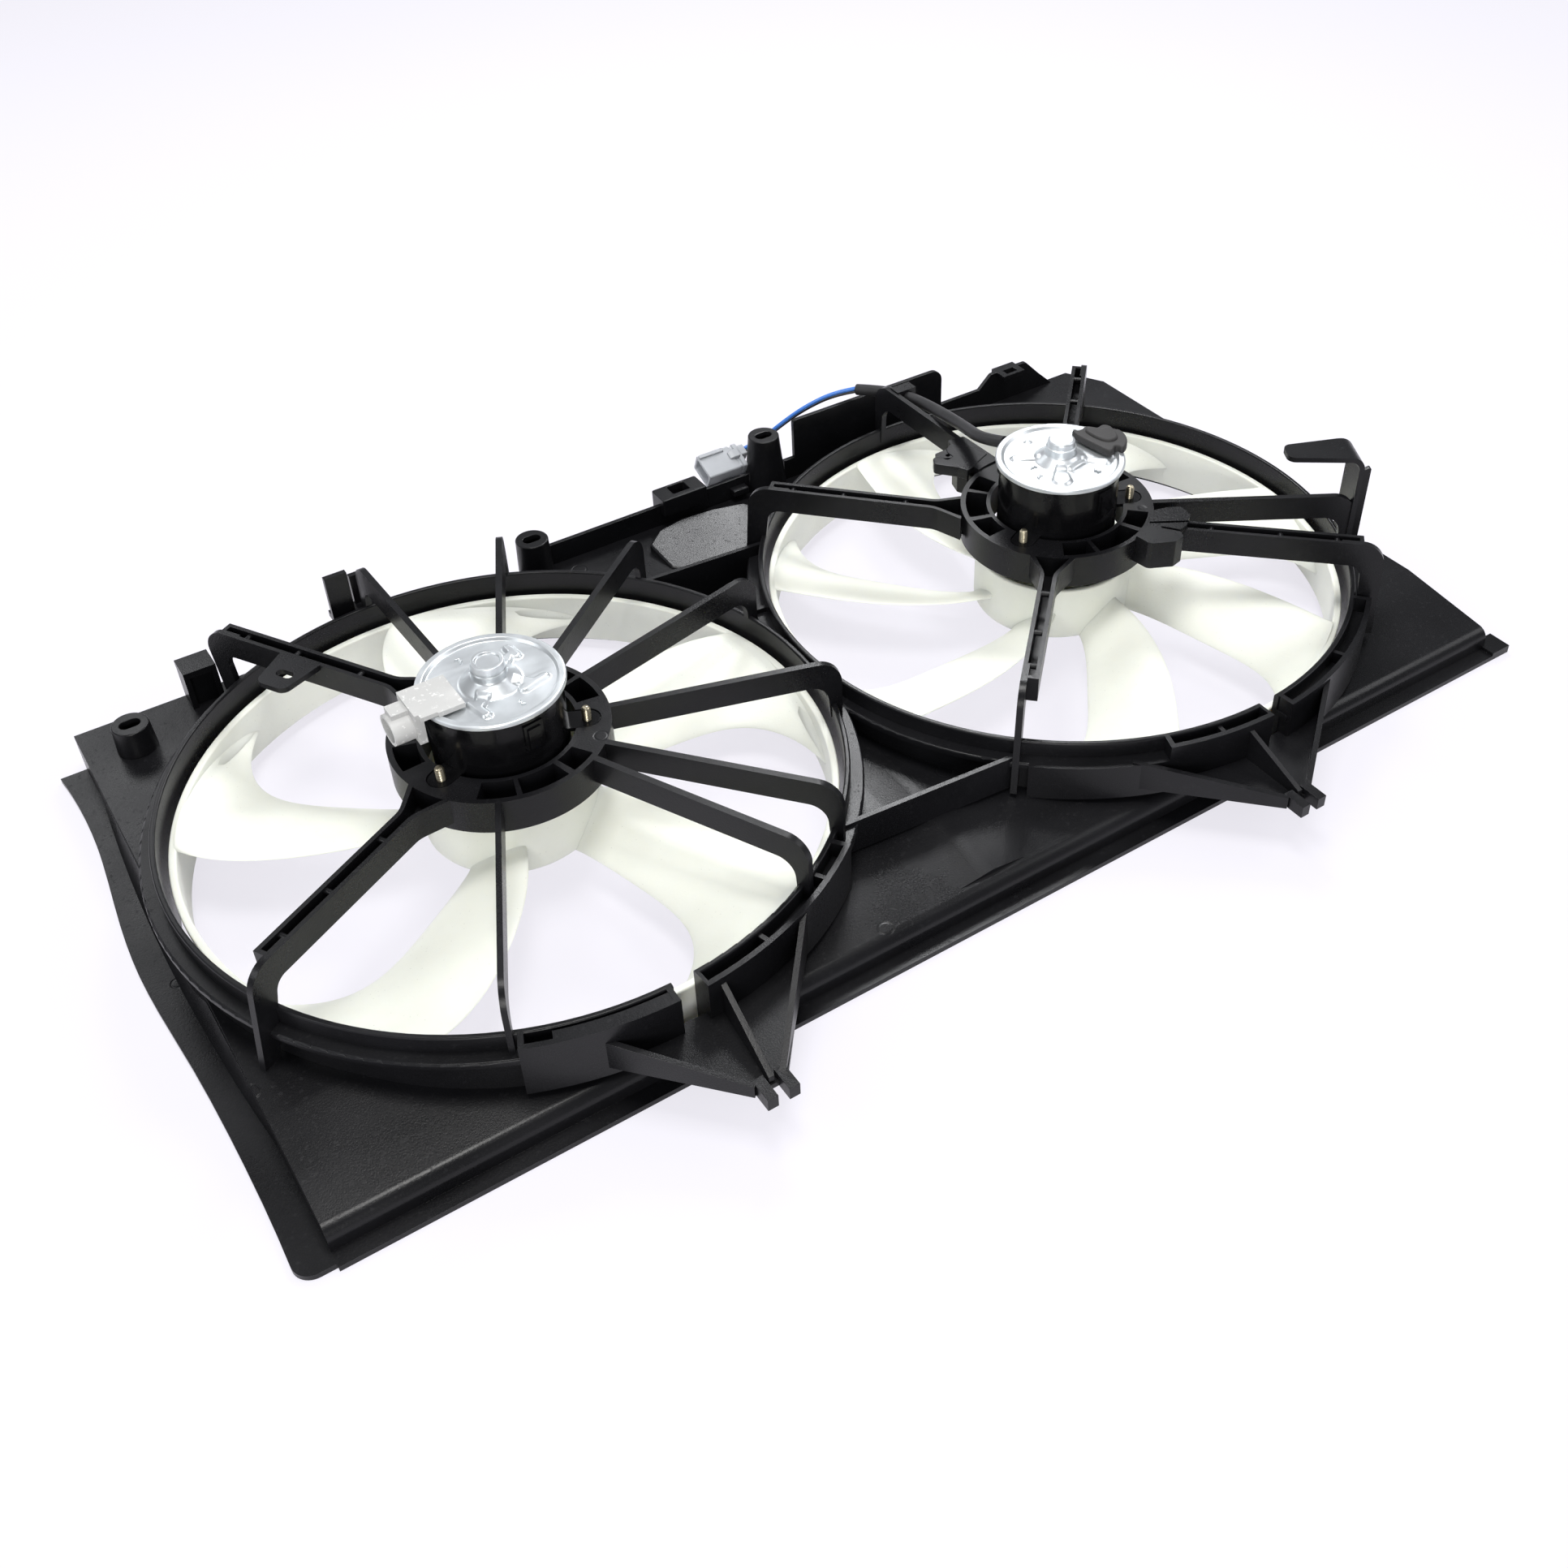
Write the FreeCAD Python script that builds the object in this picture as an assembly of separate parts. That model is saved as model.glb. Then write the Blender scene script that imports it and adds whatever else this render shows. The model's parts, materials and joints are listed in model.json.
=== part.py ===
"""Twin radiator cooling fan: a moulded shroud, two motors and two banded fans.

The shroud lies on its radiator face with the motors on top. X runs along the
radiator, Z points away from it. Everything is worked out from the centre of the
left fan ring's upper rim, and moved at the end so that the origin is the bottom
centre of the whole assembly.
"""
import FreeCAD, Part
import math
import os

V = FreeCAD.Vector
UP = V(0, 0, 1)

# Fans
fan_band_r = 165.8
fan_band_wall = 2.6
fan_band_top = -13.0
fan_band_depth = 30.0
hub_gap = 9.7
fan_hub_wall = 3.0
fan_hub_top = 3.0
fan_hub_bottom = -31.5
fan_boss_r = 11.0
fan_boss_top = -9.0
blade_thick = 2.4
blade_low_z = -29.0
blade_high_z = -12.5
blade_camber = 3.0
hub_ribs = 8
nut_flat_r = 5.8
nut_height = 4.6
stud_below_hub = 9.0

# Motors
can_r = 34.0
can_wall = 2.0
can_depth = 50.0
can_lip = 1.2
can_boss_r = 10.4
can_boss_depth = 6.0
can_pad_angle = -82.0
plate_r = can_r + 2.5
plate_thick = 2.4
plate_rim = 1.3
left_plate_z = 58.0
right_plate_z = 64.0
cup_r = 8.6
cup_height = 11.5
cone_run = 6.0
cone_rise = 3.2
ear_thick = 2.0
ear_width = 13.0
bush_r = cup_r - 1.8
bush_length = 6.0
shaft_r = 4.0
stud_r = 3.0
fit = 0.05
seat = 0.3
magnet_thick = 5.4
air_gap = 0.8
stack_length = 22.0
winding_length = 5.5
commutator_r = 9.0
commutator_length = 8.0
rotor_slots = 10
boot_reach = 4.6
socket_reach = 10.5

# Motor mounts
mount_bore = can_r + 4.0
screw_circle = mount_bore + 5.0
mount_r = screw_circle + 12.2
mount_wall = 3.0
mount_height = 19.0
mount_floor = 2.6
pad_drop = 2.4
left_top = 27.2
right_top = 32.7
pocket_inset = 2.4
screw_angles = (-25.0, 91.0, -155.0)
screw_tip = 7.0
screw_r = 2.5
screw_head_r = 4.4
screw_head_height = 3.2
fan_hub_r = mount_r - hub_gap

# Fan rings
tip_gap = 4.2
ring_bore = fan_band_r + tip_gap
ring_wall = 3.0
ring_skirt = 2.4
ring_ledge = 7.0
ledge_z = -9.0
ledge_thick = 3.2
ring_foot_z = -48.0
ring_spacing = 0.7
ring_pitch_x = 2 * (ring_bore + ring_wall) + ring_spacing
ring_pitch_y = -8.4
outer_wall_r = ring_bore + 12.0
outer_wall = 2.8
sight_gap = 4.0
sight_gap_z = -33.0

# Shroud pan
pan_left = -(ring_bore + 2.0)
pan_right = ring_pitch_x + ring_bore + 18.3
pan_back = ring_bore + 18.0
pan_step = -(ring_bore + 10.0)
pan_break = -(ring_bore - 52.0)
pan_middle = ring_pitch_x / 2
pan_flat_z = -27.0
pan_ridge_z = -35.0
pan_wall = 2.6
base_z = -50.0
front_flange = 8.5
flange_thick = 3.0
ridge_round = 7.0
lens_end = 14.8
lens_bulge = 6.0
lens_round = 9.0
bulge_depth = 7.0
crease_x = pan_middle + 4.0
crease_half = 26.0
crease_height = 2.4
crease_back = -50.0
crease_front = pan_step + 8.0
corner_cut = 34.0
corner_tab = 16.0

# Arms
arm_thick = 3.5
arm_depth = 14.5
arm_elbow = 13.0
rail_thick = 2.3
rail_gap = 4.6
rail_floor = 2.0
rail_flare = 8.0
rail_flare_run = 17.0
pin_r = 1.6
leg_width = 8.0
elbow_inner = 10.0
twin_leg = 12.0

# Fixings on the shroud
boss_slot_half = 3.3
boss_slot_length = 11.0
fork_reach = 45.0
bracket_floor = 3.0
bracket_web = 2.8
fork_gap = 5.6
fork_prong = 5.4
fork_length = 10.0
hook_reach = 41.0
hook_rise = 59.0
hook_width = 22.0
hook_tip = 14.0
hook_thick = 3.0
rail_wall = 2.8
sleeve_r = 3.6
wire_r = 1.25

LEFT = V(0, 0, 0)
RIGHT = V(ring_pitch_x, ring_pitch_y, 0)
ring_skirt_r = ring_bore + ring_wall + ring_skirt


def polar(centre, radius, degrees, z=0.0):
    """Point at a radius and angle about a vertical axis."""
    turn = math.radians(degrees)
    return V(centre.x + radius * math.cos(turn), centre.y + radius * math.sin(turn), z)


def cylinder(radius, low, high, centre=LEFT):
    """Solid round bar on a vertical axis."""
    return Part.makeCylinder(radius, high - low, V(centre.x, centre.y, low), UP)


def tube(inner, outer, low, high, centre=LEFT):
    """Round wall on a vertical axis."""
    return cylinder(outer, low, high, centre).cut(cylinder(inner, low - 1, high + 1, centre))


def block(low, high):
    """Box between two corners."""
    size = high.sub(low)
    return Part.makeBox(size.x, size.y, size.z, low)


def rounded_wire(corners):
    """Closed wire through (point, radius) corners, each rounded by a tangent arc."""
    edges = []
    first = None
    last = None
    count = len(corners)
    for i in range(count):
        point, radius = corners[i]
        before = corners[i - 1][0]
        after = corners[(i + 1) % count][0]
        if radius > 0:
            to_before = before.sub(point).normalize()
            to_after = after.sub(point).normalize()
            half = to_before.getAngle(to_after) / 2
            reach = radius / math.tan(half)
            start = point.add(V(to_before).multiply(reach))
            end = point.add(V(to_after).multiply(reach))
            bisector = to_before.add(to_after).normalize()
            middle = point.add(V(bisector).multiply(radius / math.sin(half) - radius))
            arc = Part.Arc(start, middle, end).toShape()
        else:
            start = point
            end = point
            arc = None
        if last is not None:
            edges.append(Part.makeLine(last, start))
        else:
            first = start
        if arc is not None:
            edges.append(arc)
        last = end
    edges.append(Part.makeLine(last, first))
    return Part.Wire(edges)


def prism(outline, low, high):
    """Vertical prism over a plan outline of (x, y) or (x, y, radius) points."""
    corners = [(V(p[0], p[1], low), p[2] if len(p) > 2 else 0) for p in outline]
    return Part.Face(rounded_wire(corners)).extrude(V(0, 0, high - low))


def upright(outline, thick, start, degrees):
    """Upright plate: an outline of (run, z[, radius]) points, centred on its run."""
    corners = [(V(p[0], -thick / 2, p[1]), p[2] if len(p) > 2 else 0) for p in outline]
    plate = Part.Face(rounded_wire(corners)).extrude(V(0, thick, 0))
    plate.rotate(V(0, 0, 0), UP, degrees)
    plate.translate(V(start.x, start.y, 0))
    return plate


def revolved(outline, centre=LEFT):
    """Turned solid from an outline of (radius, z[, rounding]) points."""
    corners = [(V(p[0], 0, p[1]), p[2] if len(p) > 2 else 0) for p in outline]
    body = Part.Face(rounded_wire(corners)).revolve(V(0, 0, 0), UP, 360)
    body.translate(centre)
    return body


def sector(inner, outer, low, high, from_deg, to_deg, centre=LEFT):
    """Part of a round wall between two angles."""
    outline = [V(inner, 0, low), V(outer, 0, low), V(outer, 0, high), V(inner, 0, high)]
    face = Part.Face(Part.makePolygon(outline + [outline[0]]))
    piece = face.revolve(V(0, 0, 0), UP, to_deg - from_deg)
    piece.rotate(V(0, 0, 0), UP, from_deg)
    piece.translate(V(centre.x, centre.y, 0))
    return piece


def joined(pieces):
    """All pieces fused into one body with merged faces."""
    body = pieces[0]
    if len(pieces) > 1:
        body = body.multiFuse(pieces[1:])
    return body.removeSplitter()


def main_piece(body):
    """The largest solid of a shape, without the crumbs a cut leaves."""
    return max(body.Solids, key=lambda solid: solid.Volume)


def slot_hole(centre, half_width, length, low, high, degrees=0.0):
    """Oblong hole with round ends."""
    run = length / 2 - half_width
    hole = cylinder(half_width, low, high, V(-run, 0, 0))
    hole = hole.fuse(cylinder(half_width, low, high, V(run, 0, 0)))
    hole = hole.fuse(block(V(-run, -half_width, low), V(run, half_width, high)))
    hole.rotate(V(0, 0, 0), UP, degrees)
    hole.translate(V(centre.x, centre.y, 0))
    return hole


def halves():
    """Two half spaces that meet on the line midway between the ring centres."""
    far = 2000.0
    middle = V(ring_pitch_x / 2, ring_pitch_y / 2, 0)
    turn = math.degrees(math.atan2(ring_pitch_y, ring_pitch_x))
    sides = []
    for sign in (-1, 1):
        side = block(V(min(0, sign * far), -far, -far), V(max(0, sign * far), far, far))
        side.rotate(V(0, 0, 0), UP, turn)
        side.translate(middle)
        sides.append(side)
    return sides


def pan_block(inset):
    """The pan's outside as a solid; an inset gives the hollow under it."""
    foot = base_z - (1 if inset else 0)
    x0 = pan_left + inset
    outline = [
        (x0, pan_step + inset, foot, 0),
        (x0, pan_step + inset, pan_ridge_z - inset, ridge_round - inset),
        (x0, pan_break, pan_flat_z - inset, 0),
        (x0, pan_back - inset, pan_flat_z - inset, 0),
        (x0, pan_back - inset, foot, 0),
    ]
    corners = [(V(x, y, z), r) for x, y, z, r in outline]
    length = pan_right - pan_left - 2 * inset
    return Part.Face(rounded_wire(corners)).extrude(V(length, 0, 0))


def corner_wedge(inset):
    """Slanted cut across the back right corner of the pan."""
    x = pan_right - inset
    y = pan_back - inset
    reach = corner_cut + inset
    return prism([(x - reach / 2, y + 5), (x + 5, y + 5), (x + 5, y - reach)], base_z - 5, 10)


def lens_flange():
    """Flange along the left end, with a neck at the back and a belly at its middle."""
    front = pan_step - front_flange + 2
    back = pan_back - 5
    inner = pan_left + 3
    outer = pan_left - lens_end
    belly = outer - lens_bulge
    low = base_z
    corner = V(outer - 1.5, front, low)
    along = [V(corner.x, front + lens_round, low), V(outer - 0.6, -114, low), V(outer - 2.6, -50, low),
             V(belly, 20, low), V(belly + 2.4, 60, low), V(outer + 1.8, 113, low),
             V(outer + 2.8, 146, low), V(outer + 0.5, back, low)]
    curve = Part.BSplineCurve()
    curve.interpolate(along)
    slack = lens_round * (1 - math.sqrt(0.5))
    turn = Part.Arc(V(corner.x + lens_round, front, low), corner.add(V(slack, slack, 0)), along[0])
    edges = [
        turn.toShape(),
        curve.toShape(),
        Part.makeLine(along[-1], V(inner, back, low)),
        Part.makeLine(V(inner, back, low), V(inner, front, low)),
        Part.makeLine(V(inner, front, low), V(corner.x + lens_round, front, low)),
    ]
    return Part.Face(Part.Wire(edges)).extrude(V(0, 0, flange_thick))


def side_bulge():
    """Swelling of the left end wall where the ring comes closest to it."""
    front = V(pan_left, pan_break, 0)
    back = V(pan_left, pan_back - 36, 0)
    sections = []
    for z, depth in ((base_z + flange_thick, bulge_depth), (pan_flat_z - 6, 0.6)):
        lift = V(0, 0, z)
        middle = V(pan_left - depth, (front.y + back.y) / 2, z)
        arc = Part.Arc(front.add(lift), middle, back.add(lift)).toShape()
        inner = [V(pan_left + 2, back.y, z), V(pan_left + 2, front.y, z)]
        edges = [arc, Part.makeLine(back.add(lift), inner[0]), Part.makeLine(inner[0], inner[1]),
                 Part.makeLine(inner[1], front.add(lift))]
        sections.append(Part.Wire(edges))
    return Part.makeLoft(sections, True)


def pan_crease():
    """Shallow roof-shaped crease that stiffens the pan between the rings."""
    sections = []
    for y, z in ((crease_back, pan_flat_z), (pan_break, pan_flat_z), (crease_front, pan_ridge_z + 1.0)):
        low = z - pan_wall / 4
        ridge = V(crease_x, y, z + crease_height)
        left = V(crease_x - crease_half, y, low)
        right = V(crease_x + crease_half, y, low)
        sections.append(Part.makePolygon([left, right, ridge, left]))
    return Part.makeLoft(sections, True, True)


def pan():
    """Both halves of the shroud pan, open where the rings stand."""
    shell = pan_block(0).cut(corner_wedge(0))
    shell = shell.cut(pan_block(pan_wall).cut(corner_wedge(pan_wall)))
    front = pan_step - front_flange
    flange = block(V(pan_left, front, base_z), V(pan_right, pan_step + 1, base_z + flange_thick))
    tab = block(V(pan_right - 2, front, base_z), V(pan_right + corner_tab - 4, front + 14, base_z + 5))
    body = joined([shell, flange, tab, lens_flange(), side_bulge(), pan_crease()])
    for centre in (LEFT, RIGHT):
        body = body.cut(cylinder(ring_skirt_r, base_z - 1, 10, centre))
    return [body.common(side) for side in halves()]


def ring_profile():
    """Section of a fan ring: plain rim, ledge and a thicker skirt below."""
    rim = ring_bore + ring_wall
    return [
        (ring_bore, ring_foot_z),
        (ring_skirt_r, ring_foot_z),
        (ring_skirt_r, ledge_z - ledge_thick, 1.0),
        (rim + ring_ledge, ledge_z - ledge_thick, 0),
        (rim + ring_ledge, ledge_z, 1.2),
        (rim, ledge_z),
        (rim, 0, 1.0),
        (ring_bore, 0, 1.0),
    ]


def fan_ring(centre, side, walls, gap_at, ribs):
    """One fan ring with its outer front wall and the sight gap through both."""
    parts = [revolved(ring_profile(), centre)]
    low = pan_flat_z - 3
    inner = outer_wall_r - outer_wall
    rim = ring_bore + ring_wall
    for start, end, top in walls:
        parts.append(sector(inner, outer_wall_r, low, top, start, end, centre))
        if top < 0:
            parts.append(sector(rim - 1, outer_wall_r, top - ledge_thick, top, start, end, centre))
        for edge in (start, end):
            cap = math.degrees(outer_wall / outer_wall_r) * (1 if edge == start else -1)
            ends = sorted((edge, edge + cap))
            parts.append(sector(rim - 1, outer_wall_r, low, top, ends[0], ends[1], centre))
    for angle in ribs:
        parts.append(sector(rim - 1, inner + 1, ledge_z - 1, -2, angle, angle + 0.8, centre))
    body = joined(parts).common(side)
    opening = sector(ring_bore - 5, outer_wall_r + 5, sight_gap_z, 5,
                     gap_at - sight_gap / 2, gap_at + sight_gap / 2, centre)
    return body.cut(opening)


def arm_ends(centre, spec):
    """Hub end and outer end of an arm's centre line."""
    start = polar(centre, mount_r - 2, spec["hub"])
    end = polar(centre, ring_bore + spec["reach"], spec["out"])
    return start, end


def arm_line(centre, spec):
    """Start, length and heading of an arm."""
    start, end = arm_ends(centre, spec)
    run = end.sub(start)
    return start, run.Length, math.degrees(math.atan2(run.y, run.x))


def single_arm(centre, spec, top):
    """Arm with one upright plate that turns down into its leg."""
    start, length, heading = arm_line(centre, spec)
    flare = spec.get("flare", 0)
    foot = spec.get("foot", ledge_z)
    low = top - arm_depth
    leg = spec.get("leg", leg_width)
    thick = spec.get("thick", arm_thick)
    outline = [
        (0, low), (0, top), (length, top, arm_elbow),
        (length + flare, foot), (length + flare - leg * 0.8, foot),
        (length - leg, low, elbow_inner),
    ]
    return upright(outline, thick, start, heading)


def twin_rails(start, length, heading, top):
    """Two upright rails on a thin floor that spread into the hub, closed at the outer end."""
    half = rail_gap / 2 + rail_thick
    wide = half + rail_flare
    far = length - twin_leg
    low = top - arm_depth

    def outline(inset):
        run = rail_flare_run
        near = -1 if inset else 0
        return [
            (near, -(wide - inset)), (run, -(half - inset), 14 + inset), (far - inset, -(half - inset)),
            (far - inset, half - inset), (run, half - inset, 14 + inset), (near, wide - inset),
        ]

    body = prism(outline(0), low, top)
    body = body.cut(prism(outline(rail_thick), low + rail_floor, top + 1))
    pins = []
    for share in (0.30, 0.62, 0.88):
        low_end = V(far * share, -half + 1, top - 2.6)
        pins.append(Part.makeCylinder(pin_r, 2 * half - 2, low_end, V(0, 1, 0)))
    body = joined([body] + pins)
    body.rotate(V(0, 0, 0), UP, heading)
    body.translate(V(start.x, start.y, 0))
    return body


def twin_arm(centre, spec, top):
    """Arm of two rails whose near rail carries on into the elbow and leg."""
    start, length, heading = arm_line(centre, spec)
    rails = twin_rails(start, length, heading, top)
    side = spec.get("side", -1)
    half = rail_gap / 2 + rail_thick
    offset = side * (half - arm_thick / 2)
    across = math.radians(heading + 90)
    shifted = V(start.x + offset * math.cos(across), start.y + offset * math.sin(across), 0)
    flare = spec.get("flare", 0)
    foot = spec.get("foot", pan_flat_z)
    low = top - arm_depth
    leg = spec.get("leg", twin_leg)
    back = length - 2 * twin_leg
    outline = [
        (back, low), (back, top), (length, top, arm_elbow),
        (length + flare, foot), (length + flare - leg * 0.8, foot),
        (length - leg, low, 7.0),
    ]
    return joined([rails, upright(outline, arm_thick, shifted, heading)])


SLEEVE_ROUTE = [
    V(RIGHT.x - 8.7, RIGHT.y + can_r + boot_reach + 0.2, right_plate_z - 7.0),
    V(RIGHT.x - 11.7, RIGHT.y + can_r + 22.4, right_plate_z - 12.5),
    V(RIGHT.x - 2.7, RIGHT.y + can_r + 50.4, right_plate_z - 21.0),
    V(RIGHT.x + 3.3, RIGHT.y + ring_bore - 55.6, right_top + 3.3),
    V(RIGHT.x + 6.3, RIGHT.y + ring_bore - 24.6, right_top - 2.7),
    V(RIGHT.x + 4.3, RIGHT.y + ring_bore + 1.4, right_top - 7.7),
    V(RIGHT.x - 7.7, pan_back - 4.0, right_top - 12.2),
]
WIRE_ROUTE = [
    SLEEVE_ROUTE[-1],
    V(RIGHT.x - 19.7, pan_back + 4.0, right_top - 14.7),
    V(RIGHT.x - 38.7, pan_back + 9.0, right_top - 20.7),
    V(RIGHT.x - 54.7, pan_back + 12.5, right_top - 28.7),
    V(RIGHT.x - 67.7, pan_back + 13.5, right_top - 34.7),
    V(RIGHT.x - 84.7, pan_back + 13.5, right_top - 34.7),
]

LEFT_ARMS = [
    {"hub": 113, "out": 118.5, "reach": 22, "twin": True, "side": 1, "flare": -6, "foot": pan_flat_z},
    {"hub": 91, "out": 91.5, "reach": 8},
    {"hub": 65, "out": 65, "reach": 8},
    {"hub": 39, "out": 38.7, "reach": 8},
    {"hub": 14, "out": 13.5, "reach": 7},
    {"hub": -17, "out": -17, "reach": 6},
    {"hub": -46, "out": -49, "reach": 6},
    {"hub": -59, "out": -62.5, "reach": 6},
    {"hub": -116, "out": -115, "reach": 6, "thick": 2.8, "leg": 6},
    {"hub": -153, "out": -152, "reach": 10, "twin": True, "side": 1, "flare": 8, "foot": pan_flat_z},
]

RIGHT_ARMS = [
    {"hub": 149, "out": 138, "reach": 9, "twin": True, "side": 1, "flare": 4, "foot": pan_flat_z},
    {"hub": 93, "out": 91, "reach": 6},
    {"hub": 45, "out": 45.5, "reach": 5, "twin": True, "foot": ledge_z},
    {"hub": -33, "out": -32, "reach": 4},
    {"hub": -56, "out": -47.5, "reach": 14, "twin": True, "side": -1, "flare": 2, "foot": pan_flat_z},
    {"hub": -132, "out": -134.2, "reach": 4, "twin": True, "side": -1, "flare": 10, "foot": pan_flat_z},
]


def arms(centre, specs, top, keep_clear):
    """All arms of one mount, trimmed where they meet the mouldings they join."""
    made = []
    for spec in specs:
        arm = twin_arm(centre, spec, top) if spec.get("twin") else single_arm(centre, spec, top)
        arm = arm.cut(cylinder(mount_r, top - 60, top + 20, centre))
        for other in keep_clear:
            arm = arm.cut(other)
        made.append(arm)
    return made


def lug():
    """Slotted ear on the first left arm."""
    start, length, heading = arm_line(LEFT, LEFT_ARMS[0])
    low = left_top - 3.0
    half = rail_gap / 2 + rail_thick
    outline = [(60, half - 1), (86, half - 1), (82, half + 24, 5), (64, half + 24, 5)]
    ear = prism(outline, low, left_top)
    ear = ear.cut(slot_hole(V(72, half + 13, 0), 2.6, 10, low - 1, left_top + 1))
    ear.rotate(V(0, 0, 0), UP, heading)
    ear.translate(V(start.x, start.y, 0))
    return ear


def harness_claw():
    """Open claw beside the second right arm that guides the lead."""
    outline = [(-15.7, -4.8), (0.8, -0.8, 3), (-0.2, 33.2, 2), (-11.7, 34.7, 2), (-12.7, 27.2),
               (-26.7, 26.7, 2), (-28.7, 22.2, 2), (-17.2, 15.2)]
    claw = prism(outline, right_top - 6, right_top + 1.2)
    claw = claw.cut(slot_hole(V(-16.7, 21.7, 0), 1.3, 12, right_top - 9, right_top + 3, 8))
    claw.translate(V(RIGHT.x, RIGHT.y + mount_r, 0))
    return claw


def sleeve_clip():
    """Closed clip on the second right arm through which the lead runs."""
    before = SLEEVE_ROUTE[-3]
    after = SLEEVE_ROUTE[-2]
    at = before.add(after).multiply(0.5)
    reach = sleeve_r + 2.6
    body = block(V(RIGHT.x - 2.4, at.y - 4, at.z - reach), V(at.x + reach, at.y + 4, at.z + reach))
    run = after.sub(before)
    start = at.sub(V(run).normalize().multiply(20))
    return body.cut(Part.makeCylinder(sleeve_r + seat, 40, start, run))


def arm_latch():
    """Latch block with its spring tongue at the root of the fifth right arm."""
    outline = [(30, -38), (12, -50), (14, -64, 4), (27, -70.5, 2), (34, -69), (37, -63),
               (43, -62), (52, -55, 2), (53, -46, 2), (46, -42)]
    body = prism(outline, right_top - arm_depth, right_top + 2.4)
    tongue = [((26, -47), (47, -60)), ((30, -55), (38, -66))]
    for start, end in tongue:
        run = V(end[0] - start[0], end[1] - start[1], 0)
        heading = math.degrees(math.atan2(run.y, run.x))
        middle = V((start[0] + end[0]) / 2, (start[1] + end[1]) / 2, 0)
        body = body.cut(slot_hole(middle, 0.9, run.Length, right_top - 4, right_top + 3, heading))
    body.translate(V(RIGHT.x, RIGHT.y, 0))
    return body


def motor_mount(centre, top, pockets):
    """Ring that carries a motor, with open pockets and three screw pads."""
    low = top - mount_height
    body = tube(mount_bore, mount_r, low, top, centre)
    for start, end in pockets:
        body = body.cut(sector(mount_bore + pocket_inset, mount_r - mount_wall, low + mount_floor, top + 1,
                               start, end, centre))
    for angle in screw_angles:
        pad = polar(centre, screw_circle, angle)
        body = body.cut(cylinder(ear_width / 2 + 0.6, top - pad_drop, top + 1, pad))
        body = body.cut(upright([(mount_bore - 4, top - pad_drop), (mount_bore - 4, top + 1),
                                 (screw_circle, top + 1), (screw_circle, top - pad_drop)],
                                ear_width + 1.2, centre, angle))
        body = body.cut(cylinder(2.6, low - 1, top + 1, pad))
    return body.removeSplitter()


LEFT_POCKETS = [
    (-127, -106), (-103, -76), (-72, -56),
    (-7, 14), (17, 42), (45, 70),
    (112, 135), (138, 159), (162, 184),
]
RIGHT_POCKETS = [
    (-125, -105), (-102, -68), (-64, -45),
    (-4, 20), (23, 46), (49, 71),
    (111, 128), (131, 161), (165, 185),
]


def radiator_bracket(centre, angles, tip, others):
    """Gusseted foot that ends in a fork over a peg of the radiator."""
    left, middle, right = angles
    base_low = pan_flat_z + 2
    half = fork_gap / 2 + fork_prong
    root = outer_wall_r - 3
    a = polar(centre, root, left)
    b = polar(centre, root, right)
    m = polar(centre, root, middle)
    bottom_left = V(tip.x - half, tip.y, 0)
    bottom_right = V(tip.x + half, tip.y, 0)
    plan = [(a.x, a.y), (m.x, m.y), (b.x, b.y), (bottom_right.x, bottom_right.y),
            (bottom_right.x, tip.y - fork_length, 1.5), (bottom_left.x, tip.y - fork_length, 1.5),
            (bottom_left.x, bottom_left.y)]
    pieces = [prism(plan, base_low, base_low + bracket_floor)]
    right_root = V(tip.x + fork_gap / 2 + bracket_web, tip.y, 0)
    for start, end, rise in ((a, bottom_left, 17.0), (m, tip, 22.0), (b, right_root, 24.0)):
        run = end.sub(start)
        heading = math.degrees(math.atan2(run.y, run.x))
        outline = [(0, base_low), (0, base_low + rise), (run.Length, base_low + 7.0),
                   (run.Length, base_low)]
        pieces.append(upright(outline, bracket_web, start, heading))
    prong_top = base_low + 7.0
    for side in (-1, 1):
        x = tip.x + side * (fork_gap + fork_prong) / 2
        prong = block(V(x - fork_prong / 2, tip.y - fork_length, base_low),
                      V(x + fork_prong / 2, tip.y + 3, prong_top))
        pieces.append(prong)
    body = joined(pieces)
    body = body.cut(block(V(tip.x - fork_gap / 2, tip.y - fork_length - 1, base_low - 1),
                          V(tip.x + fork_gap / 2, tip.y - 1, prong_top + 30)))
    for other in others:
        body = body.cut(other)
    return main_piece(body)


BOSSES = [
    (V(pan_left + 26.3, pan_back - 28.5, 0), -11.0, 9.8, 10.6),
    (V(pan_middle - 72.6, pan_back - 9.1, 0), 0.0, 9.8, 10.6),
    (V(pan_middle + 94.7, pan_back - 2.0, 0), 10.0, 9.8, 13.5),
]


def boss(at, top, top_r, foot_r):
    """Hollow post with a slotted top for the radiator's bolt."""
    post = revolved([(0, pan_flat_z), (foot_r, pan_flat_z), (top_r, top, 0.8), (0, top)], at)
    hollow = revolved([(0, pan_flat_z - 1), (foot_r - 3, pan_flat_z - 1), (top_r - 3, top - 3.2),
                       (0, top - 3.2)], at)
    post = post.cut(hollow)
    return post.cut(slot_hole(at, boss_slot_half, boss_slot_length, top - 10, top + 1))


def latch_tab(x, z):
    """Square window loop across the back wall."""
    wall = pan_back - rail_wall
    loop = block(V(x - 9, wall - 9, z - 3), V(x + 9, wall + 5, z))
    return loop.cut(block(V(x - 4.5, wall - 6.5, z - 9), V(x + 4.5, wall - 1, z + 1)))


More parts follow.
